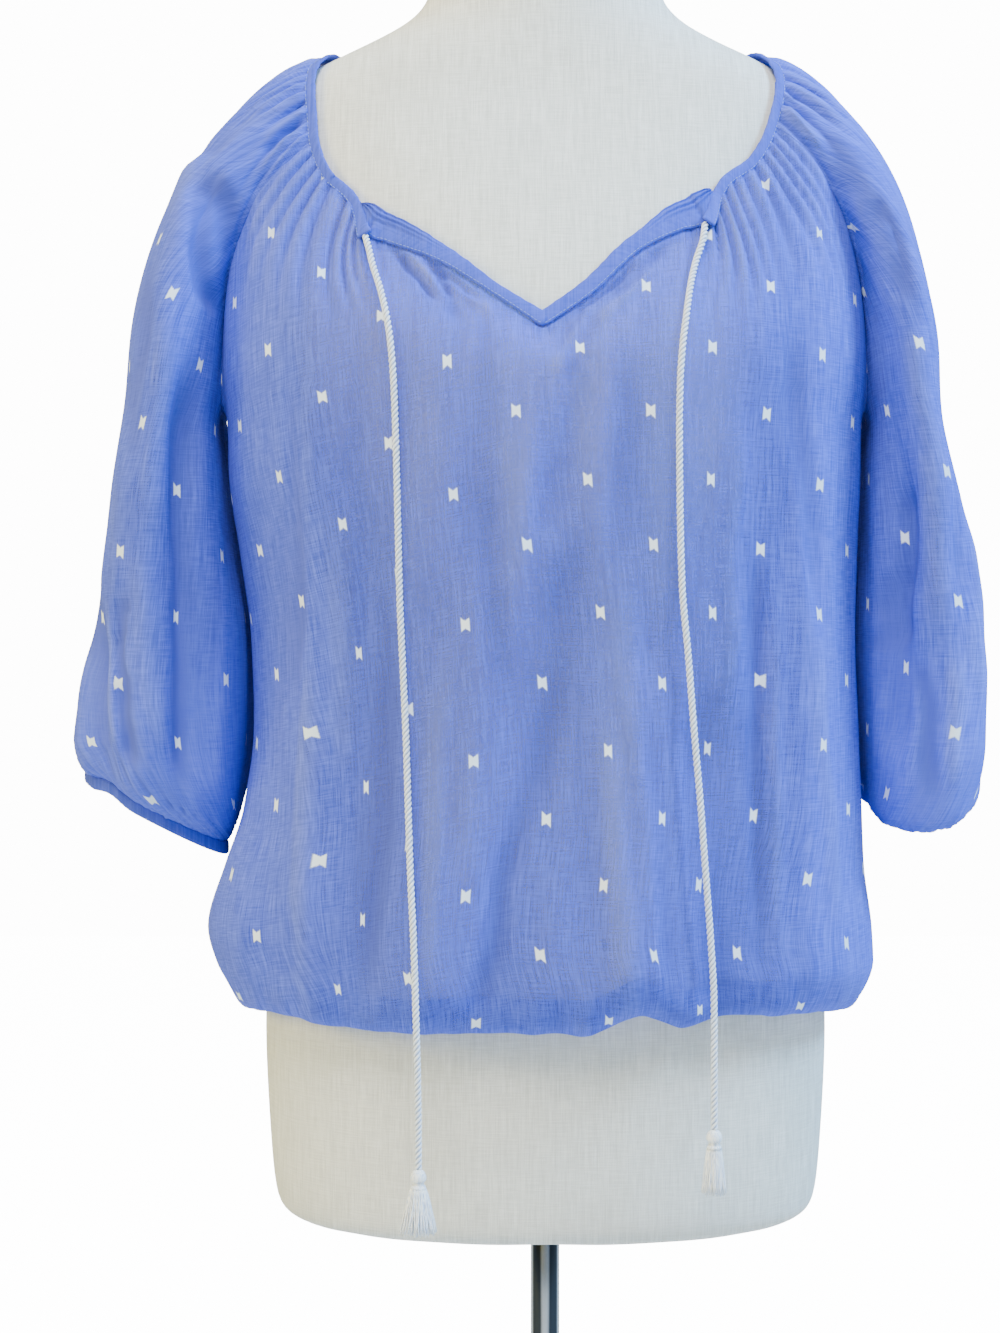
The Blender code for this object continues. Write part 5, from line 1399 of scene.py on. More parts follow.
# The weave's uneven yarns: how fine the noise of its warp, weft and broad bands is both ways, the shares of the
# weft and the bands beside the warp, and how much of a yarn's own shape shows.
SLUB_SCALES, SLUB_ROUGHNESS = ((1500.0, 55.0), (60.0, 1250.0), (420.0, 18.0)), 0.6
WEFT_SHARE, BAND_SHARE, YARN_HEIGHT = 0.75, 0.6, 0.5
# The tones between which the weave goes from its dark to its light yarns.
VOILE_TONES, TRIM_TONES, LINEN_TONES = (-0.42, 0.42), (-0.5, 0.5), (-0.40, 0.45)
# Bumps: strength and distance.
VOILE_BUMP, TRIM_BUMP, LINEN_BUMP = (0.35, 0.00012), (0.4, 0.00015), (0.3, 0.0002)
CORD_BUMP, THREAD_BUMP = (0.5, 0.0002), (0.4, 0.0002)
# Flecks: jitter both ways, fray of their ends and sides, notches, lean, and softness of their edges.
FLECK_JITTER = (0.0016, 0.0020)
FLECK_FRAY, FLECK_FRAY_SCALE, FLECK_FRAY_SIDE = 0.0016, 1900.0, 0.4
FLECK_NOTCH, FLECK_LEAN = 0.22, 0.22
FLECK_EDGE_U, FLECK_EDGE_V = (-0.0003, 0.0004), (-0.0005, 0.0006)
FLECK_COVER = 0.97
# Where a fold counts as deep or as a ridge, and how much of its painted shade or painted highlight the cloth takes.
FOLD_DEEP, FOLD_SHADE_SHARE = (0.10, -1.0), 0.85
FOLD_RIDGE, RIDGE_HIGHLIGHT_SHARE = (0.10, 1.0), 0.30
# The voile covers more toward the front's sides and low on it, and low on the sleeves, by its UV map; the extra cover
# low down is painted shade, darker towards the bottom.
COVER_SIDES, COVER_LOW, COVER_LOW_SHARE = (0.11, 0.19), (0.50, 0.74), 0.45
COVER_SLEEVE, COVER_SLEEVE_SHARE = (0.76, 0.66), 0.30
# It covers more where it is seen at a slant or lies deep in a fold, and unevenly by soft patches and by its yarns; the
# extra cover deep in a fold is painted shade.
COVER_SLANT, COVER_FOLD, COVER_PATCH, COVER_YARN = 0.30, -0.16, 0.34, 0.34
COVER_PATCH_SCALE = (26.0, 4.5, 0.0)
# Linen's soft stains: size, the noise between which they show, and how dark they are.
LINEN_PATCH_SCALE, LINEN_PATCH, LINEN_PATCH_SHARE = 9.0, (0.40, 0.75), 0.35
# A cord's fibres: slant, how fine across and along; where the painted shade of its grooves starts within a lobe, and
# its share.
FIBRE_SLANT, FIBRE_SCALES, FIBRE_TONES = 0.35, (3200.0, 160.0), (0.3, 0.7)
GROOVE, GROOVE_SHADE_SHARE = (0.20, 0.46), 0.95
TASSEL_SCALES, TASSEL_TONES = (1400.0, 1400.0, 120.0), (0.3, 0.62)
SEWING_SCALE, SEWING_TONES, SEWING_SHADE = 2600.0, (0.3, 0.7), 0.75
# Chrome: its roughness and its colours with the smudges that change them, and the bands of painted reflection that
# stand for what it mirrors.
CHROME_ROUGHNESS, CHROME_SMUDGE, SMUDGE_SCALE = 0.07, 0.10, 38.0
SMUDGE_ROUGH, SMUDGE_TONES = (0.4, 0.8), (0.3, 0.8)
CHROME_LIGHT, CHROME_SMUDGED, CHROME_PAINTED_DARK = (0.41, 0.43, 0.46), (0.32, 0.33, 0.36), (0.030, 0.036, 0.045)
CHROME_MIDDLE, CHROME_EDGE = (0.02, 0.08), ((0.40, 0.52), (0.66, 0.80))


class Nodes:
    """Short ways to add shader nodes to one tree."""

    def __init__(self, tree):
        self.tree = tree

    def feed(self, node, socket, source):
        """Gives an input a value, or links an output to it."""
        if isinstance(source, (int, float, tuple)):
            node.inputs[socket].default_value = source
        else:
            self.tree.links.new(source, node.inputs[socket])

    def add(self, kind, links=(), **values):
        node = self.tree.nodes.new(kind)
        for key, value in values.items():
            setattr(node, key, value)
        for socket, source in dict(links).items():
            self.feed(node, socket, source)
        return node

    def group(self, group, links):
        return self.add("ShaderNodeGroup", links, node_tree=group).outputs

    def math(self, operation, a, b=0.0, c=0.0, clamp=False):
        links = {0: a, 1: b}
        if operation == "MULTIPLY_ADD":
            links[2] = c
        return self.add("ShaderNodeMath", links, operation=operation, use_clamp=clamp).outputs[0]

    def times(self, a, b):
        return self.math("MULTIPLY", a, b)

    def centred(self, value):
        return self.math("SUBTRACT", value, 0.5)

    def mix(self, factor, a, b):
        node = self.add("ShaderNodeMix", {0: factor}, data_type="RGBA")
        for socket, colour in ((6, a), (7, b)):
            self.feed(node, socket, (*colour[:3], 1.0) if isinstance(colour, tuple) else colour)
        return node.outputs[2]

    def ramp(self, value, low, high):
        links = {0: value, 1: low, 2: high, 3: 0.0, 4: 1.0}
        return self.add("ShaderNodeMapRange", links, interpolation_type="SMOOTHSTEP").outputs[0]

    def split(self, vector):
        return self.add("ShaderNodeSeparateXYZ", {0: vector}).outputs

    def vector(self, *parts):
        return self.add("ShaderNodeCombineXYZ", dict(enumerate(parts))).outputs[0]

    def stretched(self, parts, scales):
        return self.vector(*(self.times(part, scale) for part, scale in zip(parts, scales)))

    def noise(self, vector, scale=1.0, detail=2.0, roughness=0.5):
        links = {"Vector": vector, "Scale": scale, "Detail": detail, "Roughness": roughness}
        return self.add("ShaderNodeTexNoise", links).outputs["Fac"]

    def place(self):
        return self.add("ShaderNodeTexCoord").outputs["Object"]

    def grain(self):
        return self.add("ShaderNodeUVMap", uv_map="grain").outputs[0]

    def facing(self):
        return self.add("ShaderNodeLayerWeight", {"Blend": 0.5}).outputs["Facing"]


def new_group(name, inputs, outputs):
    """A node group with a vector and these numbers as inputs, and these numbers as outputs."""
    group = bpy.data.node_groups.new(name, "ShaderNodeTree")
    group.interface.new_socket(name="Vector", in_out="INPUT", socket_type="NodeSocketVector")
    for label, default in inputs:
        socket = group.interface.new_socket(name=label, in_out="INPUT", socket_type="NodeSocketFloat")
        socket.default_value = default
    for label in outputs:
        group.interface.new_socket(name=label, in_out="OUTPUT", socket_type="NodeSocketFloat")
    nodes = Nodes(group)
    return group, nodes, nodes.add("NodeGroupInput").outputs, nodes.add("NodeGroupOutput")


def slub_group():
    """Uneven yarns both ways: a height, and how light each yarn is."""
    group, n, given, out = new_group("slub_weave", (("Yarns", 2600.0), ("Slub", 1.0)), ("Height", "Tone"))
    parts = n.split(given["Vector"])
    waves = []
    for part in parts[:2]:
        turn = n.times(part, n.times(given["Yarns"], math.pi))
        waves.append(n.math("ABSOLUTE", n.math("SINE", turn)))
    weave = n.math("MAXIMUM", *waves)
    warp, weft, broad = (
        n.centred(n.noise(n.stretched(parts, scales), roughness=SLUB_ROUGHNESS)) for scales in SLUB_SCALES
    )
    both = n.math("MULTIPLY_ADD", warp, 1.0, n.times(weft, WEFT_SHARE))
    tone = n.times(n.math("MULTIPLY_ADD", broad, BAND_SHARE, both), given["Slub"])
    n.feed(out, "Height", n.math("MULTIPLY_ADD", weave, YARN_HEIGHT, tone))
    n.feed(out, "Tone", tone)
    return group


def fleck_group():
    """Small woven blocks with notched ends on a half-drop lattice: a mask."""
    sizes = (
        ("Column", 0.040), ("Row", 0.080), ("Width", 0.0056), ("Height", 0.0080),
        ("Start U", 0.0), ("Start V", 0.0), ("Top", 9.0),
    )
    group, n, at, out = new_group("woven_flecks", sizes, ("Mask",))
    parts = n.split(at["Vector"])
    u, v = (n.math("SUBTRACT", part, at[start]) for part, start in zip(parts, ("Start U", "Start V")))
    column = n.math("ROUND", n.math("DIVIDE", u, at["Column"]))
    half = n.times(n.math("ABSOLUTE", n.math("MODULO", column, 2.0)), 0.5)
    down = n.math("SUBTRACT", n.math("DIVIDE", v, at["Row"]), half)
    row = n.math("ROUND", down)
    chance = n.add("ShaderNodeTexWhiteNoise", {0: n.vector(column, row)}, noise_dimensions="2D")
    jitter = n.split(chance.outputs["Color"])
    du = n.math("SUBTRACT", u, n.times(column, at["Column"]))
    dv = n.times(n.math("SUBTRACT", down, row), at["Row"])
    du, dv = (
        n.math("MULTIPLY_ADD", n.centred(chance), amount, off)
        for chance, amount, off in zip(jitter, FLECK_JITTER, (du, dv))
    )
    fray = n.times(n.centred(n.noise(at["Vector"], FLECK_FRAY_SCALE, 1.0)), FLECK_FRAY)
    half_width, half_height = (n.times(at[size], 0.5) for size in ("Width", "Height"))
    out_u = n.math("ABSOLUTE", du)
    side = n.math("DIVIDE", out_u, half_width)
    notch = n.times(n.math("SUBTRACT", 1.0, side), n.times(at["Height"], FLECK_NOTCH))
    far_v = n.math("ADD", n.math("ABSOLUTE", n.math("MULTIPLY_ADD", du, FLECK_LEAN, dv)), notch)
    inside_u = n.math("SUBTRACT", half_width, n.math("ADD", out_u, n.times(fray, FLECK_FRAY_SIDE)))
    inside_v = n.math("SUBTRACT", half_height, n.math("ADD", far_v, fray))
    mask = n.times(n.ramp(inside_u, *FLECK_EDGE_U), n.ramp(inside_v, *FLECK_EDGE_V))
    centre = n.math("MULTIPLY_ADD", n.math("ADD", row, half), at["Row"], at["Start V"])
    n.feed(out, "Mask", n.times(mask, n.math("LESS_THAN", centre, at["Top"])))
    return group


def new_material(name, roughness, **constants):
    """A new material, its nodes and its shader with these values set."""
    made = bpy.data.materials.new(name)
    made.use_nodes = True
    nodes = Nodes(made.node_tree)
    shader = made.node_tree.nodes["Principled BSDF"]
    shader.inputs["Roughness"].default_value = roughness
    for socket, value in constants.items():
        shader.inputs[socket.replace("_", " ")].default_value = value
    return made, nodes, shader


def bumped(n, shader, height, strength, distance):
    bump_node = n.add("ShaderNodeBump", {"Height": height, "Strength": strength, "Distance": distance})
    n.feed(shader, "Normal", bump_node.outputs["Normal"])


def voile_material(settings, name, start_u, start_v, top):
    """Semi-sheer cloth with its flecks, with a painted highlight on its ridges and painted shade deeper in its folds.
    """
    made, n, shader = new_material(name, CLOTH_ROUGHNESS, **CLOTH_SHEEN)
    uv = n.grain()
    slub = n.group(shared("slub_weave", slub_group), {"Vector": uv, "Yarns": CLOTH_YARNS, "Slub": 1.0})
    fleck = n.group(shared("woven_flecks", fleck_group), {
        "Vector": uv, "Column": settings.fleck_column, "Row": settings.fleck_row, "Width": settings.fleck_width,
        "Height": settings.fleck_height, "Start U": start_u, "Start V": start_v, "Top": top,
    })["Mask"]
    fold = n.add("ShaderNodeAttribute", attribute_name="fold").outputs["Fac"]
    tone = n.ramp(slub["Tone"], *VOILE_TONES)
    cloth = n.mix(tone, tuple(settings.cloth_dark), tuple(settings.cloth_light))
    # Painted shade: deep in its folds the cloth takes a darker colour.
    cloth = n.mix(n.times(n.ramp(fold, *FOLD_DEEP), FOLD_SHADE_SHARE), cloth, tuple(settings.cloth_fold_shade))
    # Painted highlight: on the ridges of its folds the cloth takes a paler colour.
    cloth = n.mix(n.times(n.ramp(fold, *FOLD_RIDGE), RIDGE_HIGHLIGHT_SHARE), cloth, tuple(settings.cloth_ridge_highlight))
    n.feed(shader, "Base Color", n.mix(fleck, cloth, tuple(settings.fleck_colour)))
    cover = settings.cloth_cover
    # Painted shade: the cover rises low on the front and on the sleeves.
    if name.startswith("front"):
        u, v, _ = n.split(uv)
        low = n.times(n.math("SUBTRACT", 1.0, n.ramp(v, *COVER_LOW)), COVER_LOW_SHARE)
        more = n.math("MAXIMUM", n.ramp(n.math("ABSOLUTE", u), *COVER_SIDES), low)
        cover = n.math("MULTIPLY_ADD", more, cover - settings.cloth_cover_front, settings.cloth_cover_front)
    if name.startswith("sleeve"):
        cover = n.math("MULTIPLY_ADD", n.ramp(n.split(uv)[1], *COVER_SLEEVE), COVER_SLEEVE_SHARE, cover)
    patches = n.add("ShaderNodeVectorMath", {0: uv, 1: COVER_PATCH_SCALE}, operation="MULTIPLY").outputs[0]
    patches = n.centred(n.noise(patches))
    # The extra cover deep in a fold is painted shade.
    for source, share in ((n.facing(), COVER_SLANT), (fold, COVER_FOLD), (patches, COVER_PATCH)):
        cover = n.math("MULTIPLY_ADD", source, share, cover)
    cover = n.math("MULTIPLY_ADD", tone, COVER_YARN, n.math("SUBTRACT", cover, COVER_YARN / 2))
    n.feed(shader, "Alpha", n.math("MAXIMUM", cover, n.times(fleck, FLECK_COVER), clamp=True))
    bumped(n, shader, n.math("ADD", slub["Height"], fleck), *VOILE_BUMP)
    return made


def trim_material(settings):
    """The firmer cloth of the bindings and bands."""
    made, n, shader = new_material("trim_weave", CLOTH_ROUGHNESS, **CLOTH_SHEEN)
    slub = shared("slub_weave", slub_group)
    slub = n.group(slub, {"Vector": n.place(), "Yarns": CLOTH_YARNS, "Slub": TRIM_SLUB})
    colour = n.mix(n.ramp(slub["Tone"], *TRIM_TONES), tuple(settings.trim_dark), tuple(settings.trim_light))
    n.feed(shader, "Base Color", colour)
    bumped(n, shader, slub["Height"], *TRIM_BUMP)
    return made


def linen_material(settings):
    """The dress form's plain linen, with soft stains."""
    made, n, shader = new_material("linen_cover", LINEN_ROUGHNESS, **LINEN_SHEEN)
    place = n.place()
    x, _, z = n.split(place)
    slub = shared("slub_weave", slub_group)
    slub = n.group(slub, {"Vector": n.vector(x, z), "Yarns": LINEN_YARNS, "Slub": 1.0})
    light, dark = tuple(settings.linen_light), tuple(settings.linen_dark)
    patches = n.ramp(n.noise(place, LINEN_PATCH_SCALE, 3.0), *LINEN_PATCH)
    colour = n.mix(n.ramp(slub["Tone"], *LINEN_TONES), dark, light)
    n.feed(shader, "Base Color", n.mix(n.times(patches, LINEN_PATCH_SHARE), colour, dark))
    bumped(n, shader, slub["Height"], *LINEN_BUMP)
    return made


def cotton_material(settings):
    """The cords' slanting fibres, with painted shade in the grooves between the strands."""
    made, n, shader = new_material("cotton_cord", COTTON_ROUGHNESS, **COTTON_SHEEN)
    u, v, _ = n.split(n.grain())
    fibre = n.noise(n.stretched((n.math("MULTIPLY_ADD", v, FIBRE_SLANT, u), v), FIBRE_SCALES))
    colour = n.mix(n.ramp(fibre, *FIBRE_TONES), tuple(settings.cord_dark), tuple(settings.cord_light))
    # Painted shade in the grooves between the strands.
    groove_shade = n.times(n.ramp(n.math("DIVIDE", u, CORD_LOBE), *GROOVE), GROOVE_SHADE_SHARE)
    n.feed(shader, "Base Color", n.mix(groove_shade, colour, tuple(settings.cord_groove_shade)))
    bumped(n, shader, fibre, *CORD_BUMP)
    return made


def thread_material(settings):
    """The tassels' loose threads, with darker streaks at random painted as the shade between them."""
    made, n, shader = new_material("tassel_cotton", COTTON_ROUGHNESS, **COTTON_SHEEN)
    fibre = n.noise(n.stretched(n.split(n.place()), TASSEL_SCALES))
    # Painted shade: darker streaks stand for the shade between the threads.
    colour = n.mix(n.ramp(fibre, *TASSEL_TONES), tuple(settings.thread_dark), tuple(settings.thread_light))
    n.feed(shader, "Base Color", colour)
    bumped(n, shader, fibre, *THREAD_BUMP)
    return made


def chrome_material():
    """Polished metal that shows the dark and bright bands of a studio round it: the dark bands are a painted
    reflection, put into its colour by the angle at which it is seen.
    """
    made, n, shader = new_material("polished_chrome", CHROME_ROUGHNESS, Metallic=1.0)
    smudge = n.noise(n.place(), SMUDGE_SCALE, 4.0)
    rough = n.math("MULTIPLY_ADD", n.ramp(smudge, *SMUDGE_ROUGH), CHROME_SMUDGE, CHROME_ROUGHNESS)
    n.feed(shader, "Roughness", rough)
    colour = n.mix(n.ramp(smudge, *SMUDGE_TONES), CHROME_LIGHT, CHROME_SMUDGED)
    # Painted reflection: dark bands in the colour, by the angle at which the metal is seen.
    facing, (near, far) = n.facing(), CHROME_EDGE
    middle = n.math("SUBTRACT", 1.0, n.ramp(facing, *CHROME_MIDDLE))
    edge = n.times(n.ramp(facing, *near), n.math("SUBTRACT", 1.0, n.ramp(facing, *far)))
    n.feed(shader, "Base Color", n.mix(n.math("MAXIMUM", middle, edge), CHROME_PAINTED_DARK, colour))
    return made


def sewing_material(settings):
    """The topstitching's thread."""
    made, n, shader = new_material("sewing_thread", COTTON_ROUGHNESS)
    thread = tuple(settings.thread)
    ply = n.ramp(n.noise(n.place(), SEWING_SCALE, 1.0), *SEWING_TONES)
    n.feed(shader, "Base Color", n.mix(ply, tuple(SEWING_SHADE * c for c in thread), thread))
    return made


def shared(name, make, *given):
    """A material or group that several pieces use, made once."""
    return bpy.data.materials.get(name) or bpy.data.node_groups.get(name) or make(*given)


# ---------------------------------------------------------------- settings, operators and panel
SENSOR = 36.0
VIEW_DISTANCE, VIEW_HEIGHT = 1.5, 0.8665
VIEW_X, VIEW_Z = -0.02925, 0.7009
VIEW_END = 50.0
FLOOR_HEIGHT, FLOOR_ROUGHNESS = -0.0004, 0.9
ROOM_WARM, ROOM_COOL, ROOM_SPREAD = (0.90, 0.80, 0.37), (0.54, 0.80, 1.14), 0.9
WHITE = (1.0, 1.0, 1.0, 1.0)
CHEST = (0.0, 0.0, 0.80)
# Name, place, width and colour of each lamp; all are turned to the chest, and their power is a setting.
LAMPS = (
    ("key", (-0.4, -1.9, 3.3), 1.4, (1.0, 0.97, 0.92)),
    ("warm", (-2.6, -0.9, 1.5), 1.0, (1.0, 0.80, 0.20)),
    ("cool", (2.3, -0.7, 3.1), 1.0, (0.32, 0.63, 1.0)),
)
# The flat cut of what shows of each piece, its area, where the grain's lattice of flecks starts, and up to where.
NO_TOP = 9.0
CUTS = {
    "front": {"flat": (0.62, 0.58), "area": 0.300, "start": (-0.0205, 0.8517), "top": NO_TOP},
    "back": {"flat": (0.62, 0.66), "area": 0.310, "start": (0.010, 0.840), "top": NO_TOP},
    "sleeve_left_hand": {"flat": (0.46, 0.52), "area": 0.178, "start": (0.012, 0.850), "top": 1.0},
    "sleeve_right_hand": {"flat": (0.46, 0.50), "area": 0.177, "start": (0.020, 0.860), "top": 1.0},
}
# What the operators have made so far: the draped surface, and the sheets of cloth with what is sewn to them.
DRAPED = {}
SHEETS = {"trims": [], "cuffs": {}}


def number_setting(name, description, default, **limits):
    return bpy.props.FloatProperty(name=name, description=description, default=default, **limits)


def length_setting(name, description, default):
    return number_setting(name, description, default, min=0.0, unit="LENGTH", precision=4)


def colour_setting(name, description, default):
    limits = {"subtype": "COLOR", "size": 3, "min": 0.0, "max": 1.0}
    return bpy.props.FloatVectorProperty(name=name, description=description, default=default, **limits)


class BlouseSettings(bpy.types.PropertyGroup):
    cloth_light: colour_setting("Light yarns", "Colour of the cloth's palest yarns", (0.130, 0.190, 0.86))
    cloth_dark: colour_setting("Dark yarns", "Colour of the cloth's deepest yarns", (0.052, 0.088, 0.66))
    # Painted shade deep in the cloth's folds.
    cloth_fold_shade: colour_setting("Deep folds", "Colour of the cloth deep in its folds", (0.064, 0.090, 0.48))
    # Painted highlight on the cloth's ridges.
    cloth_ridge_highlight: colour_setting("Ridges", "Colour of the cloth on its ridges", (0.26, 0.34, 0.95))
    cloth_cover: number_setting("Cover", "How much of one face of the voile is yarn", 0.70, min=0.0, max=1.0)
    cloth_cover_front: number_setting(
        "Cover in front", "The same where the voile is drawn flat over the form", 0.44, min=0.0, max=1.0
    )
    trim_light: colour_setting("Light trim yarns", "Palest colour of the bindings", (0.085, 0.125, 0.66))
    trim_dark: colour_setting("Dark trim yarns", "Deepest colour of the bindings", (0.040, 0.070, 0.48))
    thread: colour_setting("Sewing thread", "Colour of the topstitching", (0.30, 0.42, 0.80))
    fleck_colour: colour_setting("Flecks", "Colour of the woven flecks", (0.80, 0.90, 1.00))
    fleck_column: length_setting("Fleck columns", "Distance between columns of flecks", 0.040)
    fleck_row: length_setting("Fleck rows", "Distance between flecks in a column", 0.080)
    fleck_width: length_setting("Fleck width", "Width of one fleck", 0.0054)
    fleck_height: length_setting("Fleck height", "Height of one fleck", 0.0088)
    cord_light: colour_setting("Cord", "Colour of the cords' palest fibres", (0.90, 0.95, 1.00))
    cord_dark: colour_setting("Cord shade", "Colour of the cords' deepest fibres", (0.72, 0.79, 0.92))
    # Painted shade in the cord's grooves.
    cord_groove_shade: colour_setting("Cord grooves", "Colour between the cords' strands", (0.26, 0.31, 0.44))
    thread_light: colour_setting("Tassel, light", "Colour of the tassels' threads", (0.97, 0.99, 1.0))
    # Painted shade between the tassels' threads.
    thread_dark: colour_setting("Tassel, dark", "Colour between the tassels' threads", (0.56, 0.64, 0.80))


class StandSettings(bpy.types.PropertyGroup):
    linen_light: colour_setting("Linen", "Palest colour of the form's cover", (0.86, 0.86, 0.82))
    linen_dark: colour_setting("Linen shade", "Deepest colour of the form's cover", (0.58, 0.58, 0.54))


class StageSettings(bpy.types.PropertyGroup):
    floor_size: length_setting("Floor", "Width of the floor", 9.0)
    floor_colour: colour_setting("Floor colour", "Colour of the floor", (0.74, 0.74, 0.74))
    room_light: number_setting("Room light", "Strength of the light all round", 0.68)
    room_white: number_setting("Room white", "How bright the room itself looks", 14.0)
    room_behind: number_setting("Room behind", "The same seen through the voile", 1.6)
    key_light: number_setting("Key light", "Power of the main light", 140.0)
    warm_light: number_setting("Warm light", "Power of the light on the left", 66.0)
    cool_light: number_setting("Cool light", "Power of the light on the right", 240.0)


def draped():
    """The draped surface, worked out once for all the pieces that lie on it."""
    if not DRAPED:
        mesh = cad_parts["dress_form"].data
        points = [tuple(corner.co) for corner in mesh.vertices]
        tree = BVHTree.FromPolygons(points, [tuple(face.vertices) for face in mesh.polygons])
        surface, stations, yoke = drape_blouse(tree)
        DRAPED.update(tree=tree, surface=surface, stations=stations, yoke=yoke)
    return DRAPED


def settle(made, slot, *nodes, finish):
    """Gives a piece its finish and body, and hides the nodes that it stands for; the slot is not used."""
    made.data.materials.clear()
    made.data.materials.append(finish)
    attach(made, "root")
    if nodes:
        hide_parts(*nodes)


def seen_only(n, shader, glow, output):
    """Shows the eye one shader and everything else another."""
    eye = n.add("ShaderNodeLightPath").outputs["Is Camera Ray"]
    n.feed(n.tree.nodes[output], 0, n.add("ShaderNodeMixShader", {0: eye, 1: shader, 2: glow}).outputs[0])


def seen_strength(n, settings):
    """How bright the room looks: pure white, but softer where it is seen through the voile."""
    through = n.math("MINIMUM", n.add("ShaderNodeLightPath").outputs["Transparent Depth"], 1.0)
    return n.math("MULTIPLY_ADD", through, settings.room_behind - settings.room_white, settings.room_white)


def floor_paint(settings):
    """Pale paint that looks as bright as the room behind it."""
    made, n, shader = new_material("floor_paint", FLOOR_ROUGHNESS)
    shader.inputs["Base Color"].default_value = (*settings.floor_colour, 1.0)
    glow = n.add("ShaderNodeEmission", {0: WHITE, 1: seen_strength(n, settings)})
    both = n.add("ShaderNodeAddShader", {0: shader.outputs[0], 1: glow.outputs[0]})
    seen_only(n, shader.outputs[0], both.outputs[0], "Material Output")
    return made


def room(settings):
    """Even soft light from all round, in a room that looks white."""
    made = bpy.data.worlds.new("room")
    made.use_nodes = True
    n = Nodes(made.node_tree)
    light = made.node_tree.nodes["Background"]
    aside = n.split(n.add("ShaderNodeTexCoord").outputs["Generated"])[0]
    n.feed(light, "Color", n.mix(n.ramp(aside, -ROOM_SPREAD, ROOM_SPREAD), ROOM_WARM, ROOM_COOL))
    n.feed(light, "Strength", settings.room_light)
    white = n.add("ShaderNodeBackground", {0: WHITE, 1: seen_strength(n, settings)})
    seen_only(n, light.outputs[0], white.outputs[0], "World Output")
    return made


class BLOUSE_OT_camera(bpy.types.Operator):
    """Sets the camera level with the chest, straight in front"""

    bl_idname = "blouse.camera"
    bl_label = "Camera"

    def execute(self, context):
        lens = bpy.data.cameras.new("camera")
        lens.sensor_width = SENSOR
        lens.lens = SENSOR * VIEW_DISTANCE / VIEW_HEIGHT
        lens.clip_end = VIEW_END
        made = linked("camera", lens)
        made.location = (VIEW_X, -VIEW_DISTANCE, VIEW_Z)
        made.rotation_euler = (math.radians(90), 0, 0)
        context.scene.camera = made
        return {"FINISHED"}


class BLOUSE_OT_cords(bpy.types.Operator):
    """Makes the two laid cords and their tassels"""

    bl_idname = "blouse.cords"
    bl_label = "Cords and tassels"

    def execute(self, context):
        cotton, threads = cotton_material(context.scene.blouse), thread_material(context.scene.blouse)
        for hand, route in (("left_hand", LEFT_CORD_ROUTE), ("right_hand", RIGHT_CORD_ROUTE)):
            tassel = make_tassel(hand, route)
            settle(tassel, "cotton_cord", "tassel_" + hand, finish=threads)
            cord, line, length = make_rope("cord_" + hand + "_laid", route)
            settle(cord, "cotton_cord", "cord_" + hand, finish=cotton)
        return {"FINISHED"}


class BLOUSE_OT_cloth(bpy.types.Operator):
    """Makes the front, the back and both raglan sleeves"""

    bl_idname = "blouse.cloth"
    bl_label = "Front, back and sleeves"

    def execute(self, context):
        for name, cut in CUTS.items():
            made = cloth_piece(draped()["surface"], name)
            finish = voile_material(context.scene.blouse, name + "_voile", *cut["start"], cut["top"])
            settle(made, "chambray", name, finish=finish)
            SHEETS[name] = made
        return {"FINISHED"}


class BLOUSE_OT_bindings(bpy.types.Operator):
    """Makes the neck binding and the two slit bindings with their topstitching"""

    bl_idname = "blouse.bindings"
    bl_label = "Neck and slit bindings"

    def execute(self, context):
        settings, drape = context.scene.blouse, draped()
        trim = shared("trim_weave", trim_material, settings)
        thread = sewing_material(settings)
        made, lines = make_bindings(drape["surface"], drape["stations"], drape["yoke"], drape["tree"])
        for name, piece in made.items():
            settle(piece, "chambray_trim", name, finish=trim)
            SHEETS["trims"].append(piece)
            height = NECK_STITCH_HEIGHT if name == "neck_binding" else SLIT_STITCH_HEIGHT
            row = stitches(name + "_stitches", *lines[name], drape["tree"], height)
            settle(row, "chambray_trim", finish=thread)
            SHEETS["trims"].append(row)
        return {"FINISHED"}


class BLOUSE_OT_bands(bpy.types.Operator):
    """Makes the gathered cuffs and the band inside the hem"""

    bl_idname = "blouse.bands"
    bl_label = "Cuffs and hem band"

    def execute(self, context):
        surface = draped()["surface"]
        trim = shared("trim_weave", trim_material, context.scene.blouse)
        for side, hand in ((-1, "left_hand"), (1, "right_hand")):
            line = edge_line(surface, [SLEEVE], side)
            low, high = -CUFF_DROP - CUFF_DEPTH, -CUFF_DROP + CUFF_COVER
            made = loop_band("cuff_%s_band" % hand, line, low, high, CUFF_HALF_THICKNESS, CUFF_INSETS[side])
            settle(made, "chambray_trim", "cuff_" + hand, finish=trim)
            SHEETS["cuffs"][hand] = made
        line = edge_line(surface, [FRONT, BACK])
        made = loop_band("hem_band_elastic", line, 0.0, HEM_BAND_DEPTH, HEM_HALF_THICKNESS)
        settle(made, "chambray_trim", "hem_band", finish=trim)
        SHEETS["trims"].append(made)
        return {"FINISHED"}


class BLOUSE_OT_declare(bpy.types.Operator):
    """Does nothing; no cut sizes or sewn pieces are stated"""

    bl_idname = "blouse.declare"
    bl_label = "Cut sizes"

    def execute(self, context):
        return {"FINISHED"}


class BLOUSE_OT_form(bpy.types.Operator):
    """Makes the linen-covered dress form"""

    bl_idname = "blouse.form"
    bl_label = "Dress form"

    def execute(self, context):
        settle(make_form(), "linen_cover", "dress_form", finish=linen_material(context.scene.blouse_stand))
        return {"FINISHED"}


